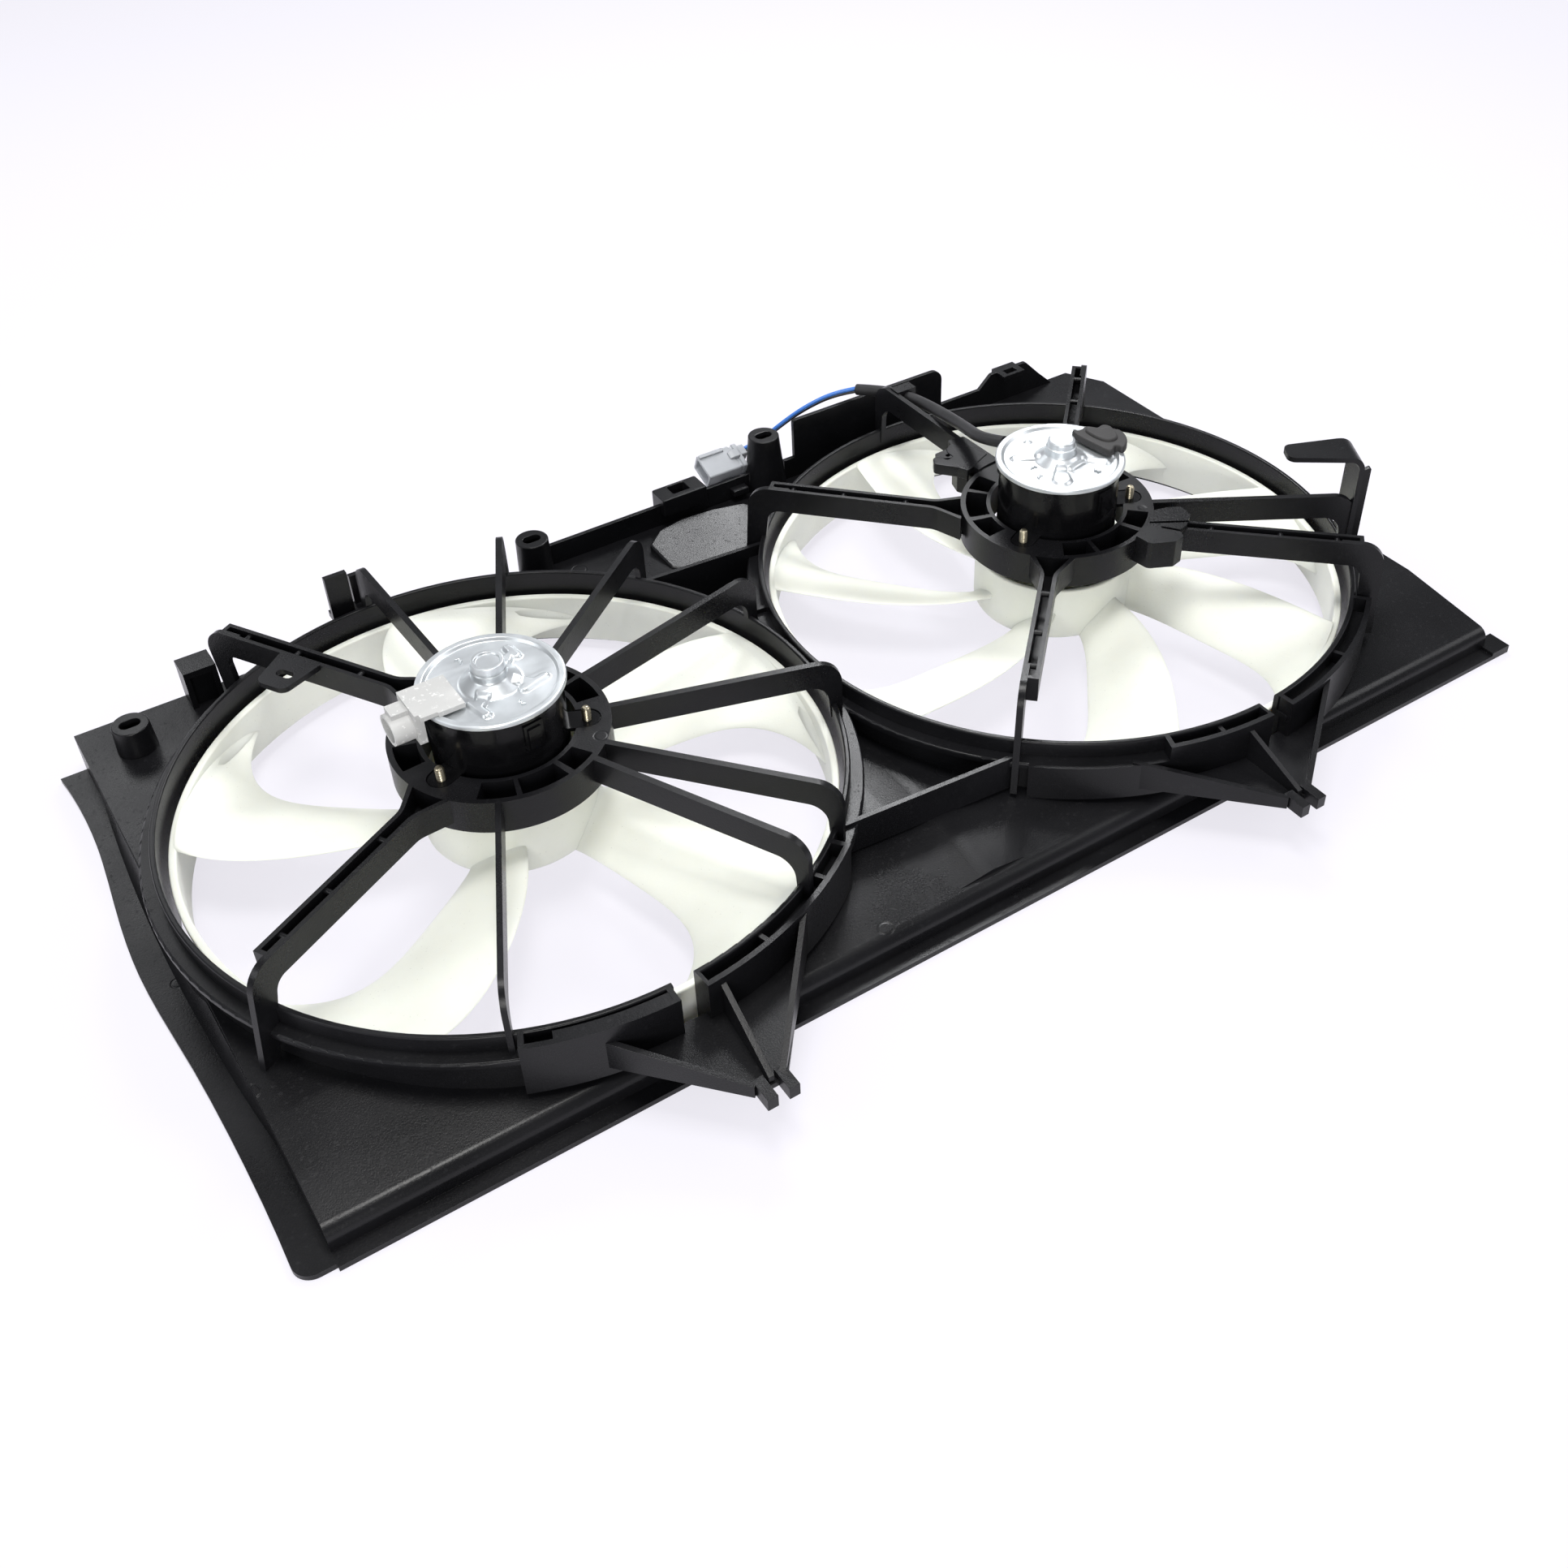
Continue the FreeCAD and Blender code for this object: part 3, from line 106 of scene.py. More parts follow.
class Link:
    """A socket of a node tree, with arithmetic that adds Math nodes."""

    def __init__(self, nodes: "Nodes", socket: bpy.types.NodeSocket) -> None:
        """Keeps the tree that new nodes go into, and the socket itself."""
        self.nodes = nodes
        self.socket = socket

    def _math(self, operation: str, *values: Union["Link", float]) -> "Link":
        """Adds one Math node over the values."""
        return self.nodes.node("ShaderNodeMath", {"operation": operation}, dict(enumerate(values)))

    def __add__(self, other: Union["Link", float]) -> "Link":
        """Sum of two values."""
        return self._math("ADD", self, other)

    __radd__ = __add__

    def __sub__(self, other: Union["Link", float]) -> "Link":
        """This value less the other."""
        return self._math("SUBTRACT", self, other)

    def __rsub__(self, other: Union["Link", float]) -> "Link":
        """The other value less this one."""
        return self._math("SUBTRACT", other, self)

    def __mul__(self, other: Union["Link", float]) -> "Link":
        """Product of two values."""
        return self._math("MULTIPLY", self, other)

    __rmul__ = __mul__

    def magnitude(self) -> "Link":
        """This value without its sign."""
        return self._math("ABSOLUTE", self)

    def larger(self, other: Union["Link", float]) -> "Link":
        """The larger of two values."""
        return self._math("MAXIMUM", self, other)

    def between(self, low: float, high: float) -> "Link":
        """Smooth step from 0 at low to 1 at high."""
        return self.nodes.node("ShaderNodeMapRange", {"interpolation_type": "SMOOTHSTEP"},
                               {"Value": self, "From Min": low, "From Max": high})


class Nodes:
    """Node tree of a material or a world, whose nodes all come from one method."""

    def __init__(self, owner: Union[bpy.types.Material, bpy.types.World]) -> None:
        """Starts the owner's tree empty."""
        owner.use_nodes = True
        self.tree = owner.node_tree
        self.tree.nodes.clear()

    def node(self, kind: str, settings: Dict[str, object], inputs: Dict[object, object],
             output: Union[int, str] = 0) -> Link:
        """Adds a node.

        Args:
            kind: node type.
            settings: attributes of the node, set first.
            inputs: values or links by socket name or number.
            output: name or number of the output that is returned.

        Returns:
            The chosen output.
        """
        made = self.tree.nodes.new(kind)
        for name, value in settings.items():
            setattr(made, name, value)
        for key, value in inputs.items():
            self.feed(made.inputs[key], value)
        return Link(self, made.outputs[output])

    def feed(self, socket: bpy.types.NodeSocket, value: object) -> None:
        """Links a value to a socket, or sets it there."""
        if isinstance(value, Link):
            self.tree.links.new(value.socket, socket)
        elif isinstance(value, tuple) and len(value) == 3 and socket.type == "RGBA":
            socket.default_value = (*value, 1.0)
        else:
            socket.default_value = value

    def show(self, kind: str, surface: Link) -> None:
        """Adds the tree's output node and feeds its surface."""
        self.feed(self.tree.nodes.new(kind).inputs["Surface"], surface)

    def ray(self, name: str) -> Link:
        """1 for light rays of the named kind, and 0 for all others."""
        return self.node("ShaderNodeLightPath", {}, {}, name)

    def mix(self, share: Link, first: Link, second: Link) -> Link:
        """Shader that goes from the first to the second with the share."""
        return self.node("ShaderNodeMixShader", {}, {0: share, 1: first, 2: second})


class Graph(Nodes):
    """Node tree of one finish, around one Principled shader."""

    def __init__(self, name: str) -> None:
        """Starts a material with its shader and output."""
        self.material = bpy.data.materials.new(name)
        super().__init__(self.material)
        surface = self.node("ShaderNodeBsdfPrincipled", {}, {}, "BSDF")
        self.shader = surface.socket.node
        self.show("ShaderNodeOutputMaterial", surface)
        self.place = self.node("ShaderNodeTexCoord", {}, {}, "Object")

    def drive(self, name: str, link: Link) -> None:
        """Feeds one of the shader's own sockets from a link."""
        self.feed(self.shader.inputs[name], link)

    def set(self, **values: object) -> None:
        """Sets constants on the shader; an underscore stands for a space."""
        for name, value in values.items():
            self.feed(self.shader.inputs[name.replace("_", " ")], value)

    def stretched(self, along_x: float) -> Link:
        """Object coordinates scaled along x, which draws a pattern out into streaks."""
        return self.node("ShaderNodeMapping", {},
                         {"Vector": self.place, "Scale": (along_x, 1.0, 1.0)})

    def noise(self, scale: float, detail: float, where: Optional[Link] = None) -> Link:
        """Soft noise of about 0.5 on average; where stands for other coordinates."""
        return self.node("ShaderNodeTexNoise", {},
                         {"Vector": where or self.place, "Scale": scale, "Detail": detail})

    def cells(self, scale: float) -> Link:
        """Distance to the nearest of scattered points, in cell units."""
        return self.node("ShaderNodeTexVoronoi", {},
                         {"Vector": self.place, "Scale": scale}, "Distance")

    def blend(self, mask: Link, low: object, high: object) -> Link:
        """Colour that goes from low to high with the mask.

        A Mix node set to colours takes them at its inputs 6 and 7 and gives output 2.
        """
        return self.node("ShaderNodeMix", {"data_type": "RGBA"},
                         {0: mask, 6: low, 7: high}, 2)

    def tones(self, mask: Link, colour: Colour, low: float, high: float) -> Link:
        """Colour that goes with the mask between two of its own shades."""
        return self.blend(mask, shade(colour, low), shade(colour, high))

    def bump(self, height: Link, distance: float) -> None:
        """Feeds the shader's normal with a height in units of the distance."""
        normal = self.node("ShaderNodeBump", {},
                           {"Height": height, "Distance": distance, "Strength": 1.0})
        self.drive("Normal", normal)


def shade(colour: Colour, factor: float) -> Colour:
    """A colour made darker or lighter by a factor."""
    return tuple(min(1.0, part * factor) for part in colour)


@dataclass(frozen=True)
class Finish:
    """A finish of the part, which fills a material's graph from its colour.

    Scales are in cells per metre, bump distances in metres.
    """

    colour: Colour

    def fill(self, g: Graph) -> None:
        """Feeds the shader; each finish has its own way."""
        raise NotImplementedError

    def make(self, name: str) -> bpy.types.Material:
        """The finish as a new material."""
        graph = Graph(name)
        self.fill(graph)
        return graph.material


@dataclass(frozen=True)
class MouldedPlastic(Finish):
    """Injection-moulded plastic: satin sheen, spark-eroded grain and flow marks."""

    gloss: float
    grain: float = 1100.0
    grain_depth: float = 0.00006
    flow: float = 0.35
    shine: float = 0.25
    marks: float = 17.0
    ring_r: float = 0.075
    ring_line: float = 0.012
    ring_depth: float = 1.8

    def fill(self, g: Graph) -> None:
        """Grain from fine noise, sheen from slow noise, scuffs, and ejector marks.

        An ejector mark is a ring where the distance to a scattered point is near
        ring_r: its height is 1 - smoothstep of the distance's departure from it.
        """
        slow = g.noise(16.0, 4.0)
        streak = g.noise(30.0, 3.0, g.stretched(0.35))
        bloom = (slow * self.flow + streak * (1.0 - self.flow)).between(0.35, 0.75)
        dust = g.noise(420.0, 6.0).between(0.58, 0.72)
        g.drive("Base Color", g.tones(bloom + dust * 0.5, self.colour, 0.8, 1.5))
        fine = g.noise(self.grain, 2.0)
        g.drive("Roughness", self.gloss + (slow - 0.5) * 0.26 + (fine - 0.5) * 0.10 + dust * 0.12)
        away = (g.cells(self.marks) - self.ring_r).magnitude()
        ring = 1.0 - away.between(0.0, self.ring_line)
        g.bump(fine + slow * 0.6 - ring * self.ring_depth, self.grain_depth)
        g.set(Specular_IOR_Level=self.shine)


@dataclass(frozen=True)
class NaturalResin(Finish):
    """Undyed fan plastic: creamy and a little see-through, with fine darker specks."""

    def fill(self, g: Graph) -> None:
        """Cream in two close shades, specks at scattered points, and light inside it."""
        cloud = g.noise(22.0, 4.0)
        speck = g.cells(260.0).between(0.03, 0.10)
        tint = g.tones(cloud.between(0.3, 0.7), self.colour, 0.965, 1.03)
        g.drive("Base Color", g.blend(speck, shade(self.colour, 0.80), tint))
        g.drive("Roughness", 0.34 + cloud * 0.18)
        g.bump(g.noise(700.0, 2.0) + cloud * 1.5, 0.00005)
        g.set(Subsurface_Weight=0.18, Subsurface_Scale=0.004, Subsurface_Radius=(1.0, 0.9, 0.7))


@dataclass(frozen=True)
class Plating(Finish):
    """Plated or bare metal, with rolling marks and dull patches."""

    gloss: float
    streaks: float
    metal: float = 1.0

    def fill(self, g: Graph) -> None:
        """Long fine streaks over slow cloudy patches in colour and sheen."""
        cloud = g.noise(45.0, 5.0)
        grain = g.noise(self.streaks, 3.0, g.stretched(0.08))
        g.drive("Base Color", g.tones(cloud.between(0.25, 0.75), self.colour, 0.86, 1.08))
        g.drive("Roughness", self.gloss + (cloud - 0.5) * 0.24 + (grain - 0.5) * 0.12)
        g.set(Metallic=self.metal)
        g.bump(grain * 0.4 + cloud, 0.00004)


@dataclass(frozen=True)
class GlossPaint(Finish):
    """Dipped black paint on drawn steel, with orange peel."""

    def fill(self, g: Graph) -> None:
        """Hard gloss over a slightly rippled coat, with dust in patches."""
        dust = g.noise(60.0, 5.0).between(0.45, 0.8)
        g.drive("Base Color", g.tones(dust, self.colour, 1.0, 2.2))
        g.drive("Roughness", 0.20 + dust * 0.16)
        g.drive("Coat Weight", 0.08 - dust * 0.05)
        g.set(Specular_IOR_Level=0.15)
        g.bump(g.noise(320.0, 2.0), 0.00008)


@dataclass(frozen=True)
class Rubber(Finish):
    """Soft rubber or tube skin with a dull bloom."""

    gloss: float

    def fill(self, g: Graph) -> None:
        """Matt skin with fine pores and paler patches."""
        bloom = g.noise(70.0, 5.0).between(0.4, 0.8)
        g.drive("Base Color", g.tones(bloom, self.colour, 1.0, 1.6))
        g.drive("Roughness", self.gloss + bloom * 0.15)
        g.bump(g.noise(900.0, 3.0), 0.00008)


@dataclass(frozen=True)
class Insulation(Finish):
    """Shiny wire insulation with a fine die line."""

    def fill(self, g: Graph) -> None:
        """Even colour, slightly deeper in places, with drawn lines."""
        tone = g.noise(90.0, 3.0)
        g.drive("Base Color", g.tones(tone, self.colour, 0.85, 1.15))
        g.drive("Roughness", 0.28 + tone * 0.12)
        g.bump(g.noise(1500.0, 1.0, g.stretched(0.1)), 0.00003)


@dataclass(frozen=True)
class SmokyShell(Finish):
    """Clear grey connector plastic that lets some light through."""

    def fill(self, g: Graph) -> None:
        """Grey clear resin with cloudy sheen."""
        cloud = g.noise(120.0, 4.0)
        g.drive("Base Color", g.tones(cloud, self.colour, 0.9, 1.1))
        g.drive("Roughness", 0.25 + cloud * 0.15)
        g.set(Transmission_Weight=0.3, IOR=1.49)
        g.bump(g.noise(800.0, 2.0), 0.00003)


FINISHES = {
    Slot.MOULDING: MouldedPlastic((0.0060, 0.0060, 0.0070), 0.31),
    Slot.CASE: GlossPaint((0.004, 0.004, 0.0045)),
    Slot.PLATE: Plating((0.66, 0.69, 0.71), 0.36, 500.0, 0.8),
    Slot.FERRITE: MouldedPlastic((0.05, 0.05, 0.055), 0.6, 700.0),
    Slot.BRONZE: Plating((0.55, 0.40, 0.22), 0.45, 900.0),
    Slot.CARD: MouldedPlastic((0.25, 0.13, 0.06), 0.5, 600.0),
    Slot.CARBON: MouldedPlastic((0.03, 0.03, 0.03), 0.45, 500.0),
    Slot.SCREW: Plating((0.58, 0.52, 0.38), 0.30, 900.0),
    Slot.SOCKET: MouldedPlastic((0.60, 0.60, 0.59), 0.42, 900.0),
    Slot.COVER: Rubber((0.022, 0.021, 0.021), 0.60),
    Slot.SLEEVE: Rubber((0.014, 0.014, 0.015), 0.42),
    Slot.BLUE: Insulation((0.03, 0.16, 0.55)),
    Slot.BLACK: Insulation((0.012, 0.012, 0.013)),
    Slot.FAN: NaturalResin((0.84, 0.855, 0.775)),
    Slot.STEEL: Plating((0.60, 0.60, 0.61), 0.25, 900.0),
    Slot.LAMINATION: Plating((0.35, 0.35, 0.36), 0.45, 1500.0),
    Slot.COPPER: Plating((0.72, 0.38, 0.20), 0.30, 1600.0),
    Slot.PLUG: SmokyShell((0.50, 0.52, 0.55)),
}


class Workshop:
    """Makes each finish once and dresses pieces with it."""

    def __init__(self) -> None:
        """Starts with no finish made."""
        self._made: Dict[Slot, bpy.types.Material] = {}

    def finish(self, slot: Slot) -> bpy.types.Material:
        """The slot's material, made on first use."""
        if slot not in self._made:
            self._made[slot] = FINISHES[slot].make(slot.value)
        return self._made[slot]

    def dress(self, piece: bpy.types.Object, slot: Slot) -> None:
        """Gives a piece one finish all over."""
        piece.data.materials.clear()
        piece.data.materials.append(self.finish(slot))

    def hand_in(self, piece: bpy.types.Object, slot: Slot, body: str, *nodes: str) -> None:
        """Dresses a new piece, sets it on its body and names the nodes it stands for."""
        self.dress(piece, slot)
        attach(piece, body)
        if nodes:
            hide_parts(*nodes)
        log.info("%s rides on %s and stands for %s", piece.name, body, ", ".join(nodes) or "itself")


# ---------------------------------------------------------------- surfaces


def add_object(name: str, data: bpy.types.ID) -> bpy.types.Object:
    """Puts an object into the scene, at the origin."""
    made = bpy.data.objects.new(name, data)
    bpy.context.scene.collection.objects.link(made)
    return made


def smoothed(name: str, mesh: bpy.types.Mesh, crease: float) -> bpy.types.Object:
    """Object of a mesh that is smooth below the crease angle in degrees."""
    mesh.shade_smooth()
    mesh.set_sharp_from_angle(angle=math.radians(crease))
    return add_object(name, mesh)


def weighed(piece: bpy.types.Object) -> bpy.types.Object:
    """Lets large faces rule the shading of the narrow ones beside them."""
    piece.modifiers.new("weighted", "WEIGHTED_NORMAL").keep_sharp = True
    return piece


@dataclass(frozen=True)
class Station:
    """Axis of one fan in plan and the upper rim of its ring, in millimetres."""

    side: str
    x: float
    y: float
    rim: float

    @staticmethod
    def of(side: str) -> "Station":
        """Reads the place from the shaft and the ring of that side."""
        low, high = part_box("motor_shaft_" + side)
        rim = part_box("fan_ring_" + side)[1].z
        return Station(side, (low.x + high.x) / 2 / MM, (low.y + high.y) / 2 / MM, rim / MM)

    def put(self, points: np.ndarray) -> np.ndarray:
        """Points measured from the ring's centre, moved to the row frame."""
        return points + np.array([self.x, self.y, self.rim])


class Shell:
    """Surface grids round one station, gathered into one mesh."""

    def __init__(self, station: Station) -> None:
        """Starts empty."""
        self.station = station
        self.points: List[np.ndarray] = []
        self.faces: List[List[int]] = []
        self.count = 0

    def _add(self, points: np.ndarray) -> np.ndarray:
        """Takes in points by the station; returns their numbers in the same layout."""
        shape = points.shape[:-1]
        index = self.count + np.arange(int(np.prod(shape))).reshape(shape)
        self.points.append(self.station.put(points).reshape(-1, 3))
        self.count += index.size
        return index

    def grid(self, points: np.ndarray, wrap_rows: bool = False) -> None:
        """Adds a grid of points, each row of which is a closed line.

        Args:
            points: array of rows, columns and three coordinates, in millimetres.
            wrap_rows: joins the last row to the first as well.
        """
        index = self._add(points)
        if wrap_rows:
            index = np.vstack([index, index[:1]])
        index = np.hstack([index, index[:, :1]])
        corners = [index[:-1, :-1], index[1:, :-1], index[1:, 1:], index[:-1, 1:]]
        self.faces += np.stack(corners, axis=-1).reshape(-1, 4).tolist()

    def cover(self, outline: np.ndarray) -> None:
        """Closes a flat outline of points with one many-sided face."""
        self.faces.append(self._add(outline).tolist())

    def build(self, name: str, crease: float = FORMED_CREASE) -> bpy.types.Object:
        """Makes the object, with doubles merged and faces pointing outwards.

        Args:
            name: name of the piece.
            crease: angle in degrees above which an edge stays sharp.

        Returns:
            The object, at the origin.
        """
        mesh = bpy.data.meshes.new(name)
        mesh.from_pydata((np.vstack(self.points) * MM).tolist(), [], self.faces)
        work = bmesh.new()
        work.from_mesh(mesh)
        bmesh.ops.remove_doubles(work, verts=work.verts, dist=GRID_MERGE)
        bmesh.ops.dissolve_degenerate(work, dist=GRID_MERGE, edges=work.edges)
        bmesh.ops.recalc_face_normals(work, faces=work.faces)
        work.to_mesh(mesh)
        work.free()
        return smoothed(name, mesh, crease)


def turned(profile: np.ndarray, columns: int) -> np.ndarray:
    """Profile of (radius, height) rows carried round the vertical axis."""
    around = np.linspace(0.0, TURN, columns, endpoint=False)[None, :]
    radius = profile[:, :1]
    height = np.repeat(profile[:, 1:2], columns, axis=1)
    return np.stack([radius * np.cos(around), radius * np.sin(around), height], axis=-1)


def rounded(corners: Sequence[Corner], steps: int = 5) -> np.ndarray:
    """Closed outline with each (a, b, rounding) corner replaced by points on an arc.

    A corner's arc starts and ends where the tangent length, rounding divided by the
    tangent of half the corner's angle, meets its two sides.
    """
    given = np.array(corners, float)
    points = given[:, :2]
    found = []
    for here, before, after, size in zip(points, np.roll(points, 1, 0), np.roll(points, -1, 0),
                                         given[:, 2]):
        if size <= 0.0:
            found.append(here[None, :])
            continue
        back = (before - here) / np.linalg.norm(before - here)
        ahead = (after - here) / np.linalg.norm(after - here)
        half = math.acos(float(np.clip(back @ ahead, -1.0, 1.0))) / 2.0
        middle = here + (back + ahead) / np.linalg.norm(back + ahead) * size / math.sin(half)
        first = here + back * size / math.tan(half) - middle
        last = here + ahead * size / math.tan(half) - middle
        share = np.linspace(0.0, 1.0, steps)[:, None]
        mixed = first * (1.0 - share) + last * share
        found.append(middle + mixed / np.linalg.norm(mixed, axis=1)[:, None] * size)
    return np.vstack(found)


def oblong(low: Plan, high: Plan, near: float, far: float, steps: int = 5) -> np.ndarray:
    """Rectangle from its low to its high corner, rounded by near below and far above."""
    return rounded([(low[0], low[1], near), (high[0], low[1], near),
                    (high[0], high[1], far), (low[0], high[1], far)], steps)


def softened(outline: Sequence[Plan], passes: int = 2) -> np.ndarray:
    """Closed outline whose corners are cut at a quarter of each side, again and again."""
    points = np.array(outline, float)
    for _ in range(passes):
        after = np.roll(points, -1, axis=0)
        points = np.stack([points * 0.75 + after * 0.25, points * 0.25 + after * 0.75], axis=1)
        points = points.reshape(-1, 2)
    return points


def drawn_in(outline: np.ndarray, by: float) -> np.ndarray:
    """Closed outline moved inwards.

    Each corner moves along the sum of its two sides' inward normals, divided by one
    plus their product, so that both sides move by the same distance.
    """
    after = np.roll(outline, -1, axis=0)
    run = after - outline
    run = run / np.linalg.norm(run, axis=1)[:, None]
    area = np.sum(outline[:, 0] * after[:, 1] - after[:, 0] * outline[:, 1])
    normal = np.column_stack([-run[:, 1], run[:, 0]]) * np.sign(area)
    before = np.roll(normal, 1, axis=0)
    both = 1.0 + np.sum(normal * before, axis=1)
    return outline + by * (normal + before) / np.clip(both, 0.4, None)[:, None]


def turned_about(angle: float, points: np.ndarray) -> np.ndarray:
    """Points turned about the vertical axis by an angle in degrees."""
    turn = math.radians(angle)
    matrix = np.array([[math.cos(turn), math.sin(turn), 0.0],
                       [-math.sin(turn), math.cos(turn), 0.0], [0.0, 0.0, 1.0]])
    return points @ matrix


def capped(points: np.ndarray) -> np.ndarray:
    """Grid with its first and last rows closed onto their own middles."""
    first = np.broadcast_to(points[0].mean(axis=0), points[0].shape)[None]
    last = np.broadcast_to(points[-1].mean(axis=0), points[-1].shape)[None]
    return np.concatenate([first, points, last])


# ---------------------------------------------------------------- pieces


@dataclass(frozen=True)
class SoftEdges:
    """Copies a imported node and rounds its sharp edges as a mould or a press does."""

    width: float
    sharp: float = 26.0
    flat: float = 0.6
    fullness: float = 0.6
    crease: float = 40.0

    def copy(self, node: str, piece: str) -> bpy.types.Object:
        """Merges the loose triangles, dissolves flat areas and bevels what is sharp.

        Args:
            node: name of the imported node.
            piece: name of the new piece.

        Returns:
            The new object.
        """
        mesh = frame["nodes"][node].data.copy()
        mesh.name = piece
        work = bmesh.new()
        work.from_mesh(mesh)
        bmesh.ops.remove_doubles(work, verts=work.verts, dist=NODE_MERGE)
        bmesh.ops.dissolve_limit(work, angle_limit=math.radians(self.flat), verts=work.verts,
                                 edges=work.edges)
        limit = math.radians(self.sharp)
        edges = [e for e in work.edges if e.is_manifold and e.calc_face_angle(0.0) > limit]
        bmesh.ops.bevel(work, geom=edges, offset=self.width * MM, offset_type="OFFSET", segments=2,
                        profile=self.fullness, affect="EDGES", clamp_overlap=True)
        work.to_mesh(mesh)
        work.free()
        if "custom_normal" in mesh.attributes:
            mesh.attributes.remove(mesh.attributes["custom_normal"])
        return weighed(smoothed(piece, mesh, self.crease))


@dataclass
class BandedFan:
    """One-piece fan: hub cup with ribs, twisted blades and an outer band."""

    station: Station
    body: str
    blades: int
    sweep: Sequence[Tuple[float, float, float]]
    hub_r: float = 45.5
    hub_wall: float = 3.0
    hub_top: float = 3.0
    hub_bottom: float = -31.5
    boss_r: float = 11.0
    boss_top: float = -9.0
    shaft_r: float = 4.05
    band_r: float = 165.8
    band_wall: float = 2.6
    band_top: float = -13.0
    band_depth: float = 30.0
    lip: float = 1.4
    lip_depth: float = 3.0
    low_z: float = -29.0
    high_z: float = -12.5
    camber: float = 3.0
    thick: float = 2.4
    root_sunk: float = 2.0
    tip_sunk: float = 1.0
    fillet: float = 2.0
    fillet_reach: float = 1.8
    ribs: int = 8
    rib_drop: float = 4.0
    rib_end: float = 6.0
    rib_sunk: float = 1.0
    rows: int = 40
    columns: int = 56
    hub_columns: int = 128
    band_columns: int = 288

    def blade(self, turn: float) -> np.ndarray:
        """One blade as a closed skin.

        The edge angles are fourth-power fits of the sweep's angles over the share of
        the way from hub to band. At a radius, the share s runs from the low to the
        high edge. The middle line turns evenly between the two edge angles and rises
        from low to high plus camber times 4 s (1 - s). Half the thickness is t / 2
        times the root of 1 - |2 s - 1| to the sixth, with a fillet that fades from
        hub and band.

        Args:
            turn: angle of this blade in degrees.

        Returns:
            Rows along the radius, closer at both ends, and columns round the section.
        """
        table = np.array(self.sweep)
        low_fit = np.polyfit(table[:, 0], table[:, 1], 4)
        high_fit = np.polyfit(table[:, 0], table[:, 2], 4)
        inner = self.hub_r - self.root_sunk
        outer = self.band_r - self.band_wall + self.tip_sunk
        along = np.linspace(0.0, 1.0, self.rows)
        along = (0.4 * along + 0.6 * (0.5 - 0.5 * np.cos(math.pi * along)))[:, None]
        radius = inner + (outer - inner) * along
        round_it = np.linspace(0.0, TURN, self.columns, endpoint=False)[None, :]
        share = 0.5 - 0.5 * np.cos(round_it)
        low = np.polyval(low_fit, along)
        high = np.polyval(high_fit, along)
        angle = np.radians(low + (high - low) * share + turn)
        middle = self.low_z + (self.high_z - self.low_z) * share
        middle = middle + self.camber * 4.0 * share * (1.0 - share) - self.thick / 2.0
        near = np.minimum(radius - self.hub_r, self.band_r - self.band_wall - radius)
        fillet = self.fillet * np.exp(-np.clip(near, 0.0, None) / self.fillet_reach)
        skin = (self.thick / 2.0 + fillet) * np.sqrt(1.0 - np.abs(2.0 * share - 1.0) ** 6)
        height = middle + skin * np.sign(np.sin(round_it))
        return np.stack([radius * np.cos(angle), radius * np.sin(angle), height], axis=-1)

    def hub(self) -> np.ndarray:
        """Cup with a floor and a centre boss, turned from a rounded outline."""
        inner = self.hub_r - self.hub_wall
        floor = self.hub_bottom + self.hub_wall
        outline = rounded([
            (self.shaft_r, self.hub_bottom, 0.0), (self.hub_r, self.hub_bottom, 4.0),
            (self.hub_r, self.hub_top, 1.0), (inner, self.hub_top, 1.0), (inner, floor, 2.5),
            (self.boss_r, floor, 2.5), (self.boss_r, self.boss_top, 1.2),
            (self.shaft_r, self.boss_top, 0.6),
        ])
        return turned(outline, self.hub_columns)

    def band(self) -> np.ndarray:
        """Outer band with its rolled lip, turned from a rounded outline."""
        bottom = self.band_top - self.band_depth
        inner = self.band_r - self.band_wall
        edge = self.band_top - self.lip_depth
        outline = rounded([
            (inner, bottom, 1.0), (self.band_r, bottom, 1.0), (self.band_r, edge, 0.5),
            (self.band_r + self.lip, edge, 0.6), (self.band_r + self.lip, self.band_top, 0.9),
            (inner, self.band_top, 1.1),
        ])
        return turned(outline, self.band_columns)

    def rib(self, turn: float) -> np.ndarray:
        """Web between boss and hub wall: a rounded bar section carried outwards.

        Its top falls from rib_drop below the boss to rib_end over the floor, with the
        run to the power 0.8, and its foot and ends are sunk into hub and boss.
        """
        section = rounded([(-1.1, -1.0, 0.0), (1.1, -1.0, 0.0), (1.0, 1.0, 0.5),
                           (-1.0, 1.0, 0.5)], 4)
        along = np.linspace(0.0, 1.0, 12)[:, None]
        inner = self.boss_r - self.rib_sunk
        run = inner + (self.hub_r - self.hub_wall + self.rib_sunk - inner) * along
        floor = self.hub_bottom + self.hub_wall
        fall = floor + self.rib_end - self.boss_top + self.rib_drop
        top = (self.boss_top - self.rib_drop) + fall * along ** 0.8
        low = np.full_like(top, floor - self.rib_sunk)
        height = (top + low) / 2.0 + (top - low) / 2.0 * section[None, :, 1]
        points = np.stack([np.broadcast_to(run, height.shape),
                           np.broadcast_to(section[None, :, 0], height.shape), height], axis=-1)
        return turned_about(turn, points)

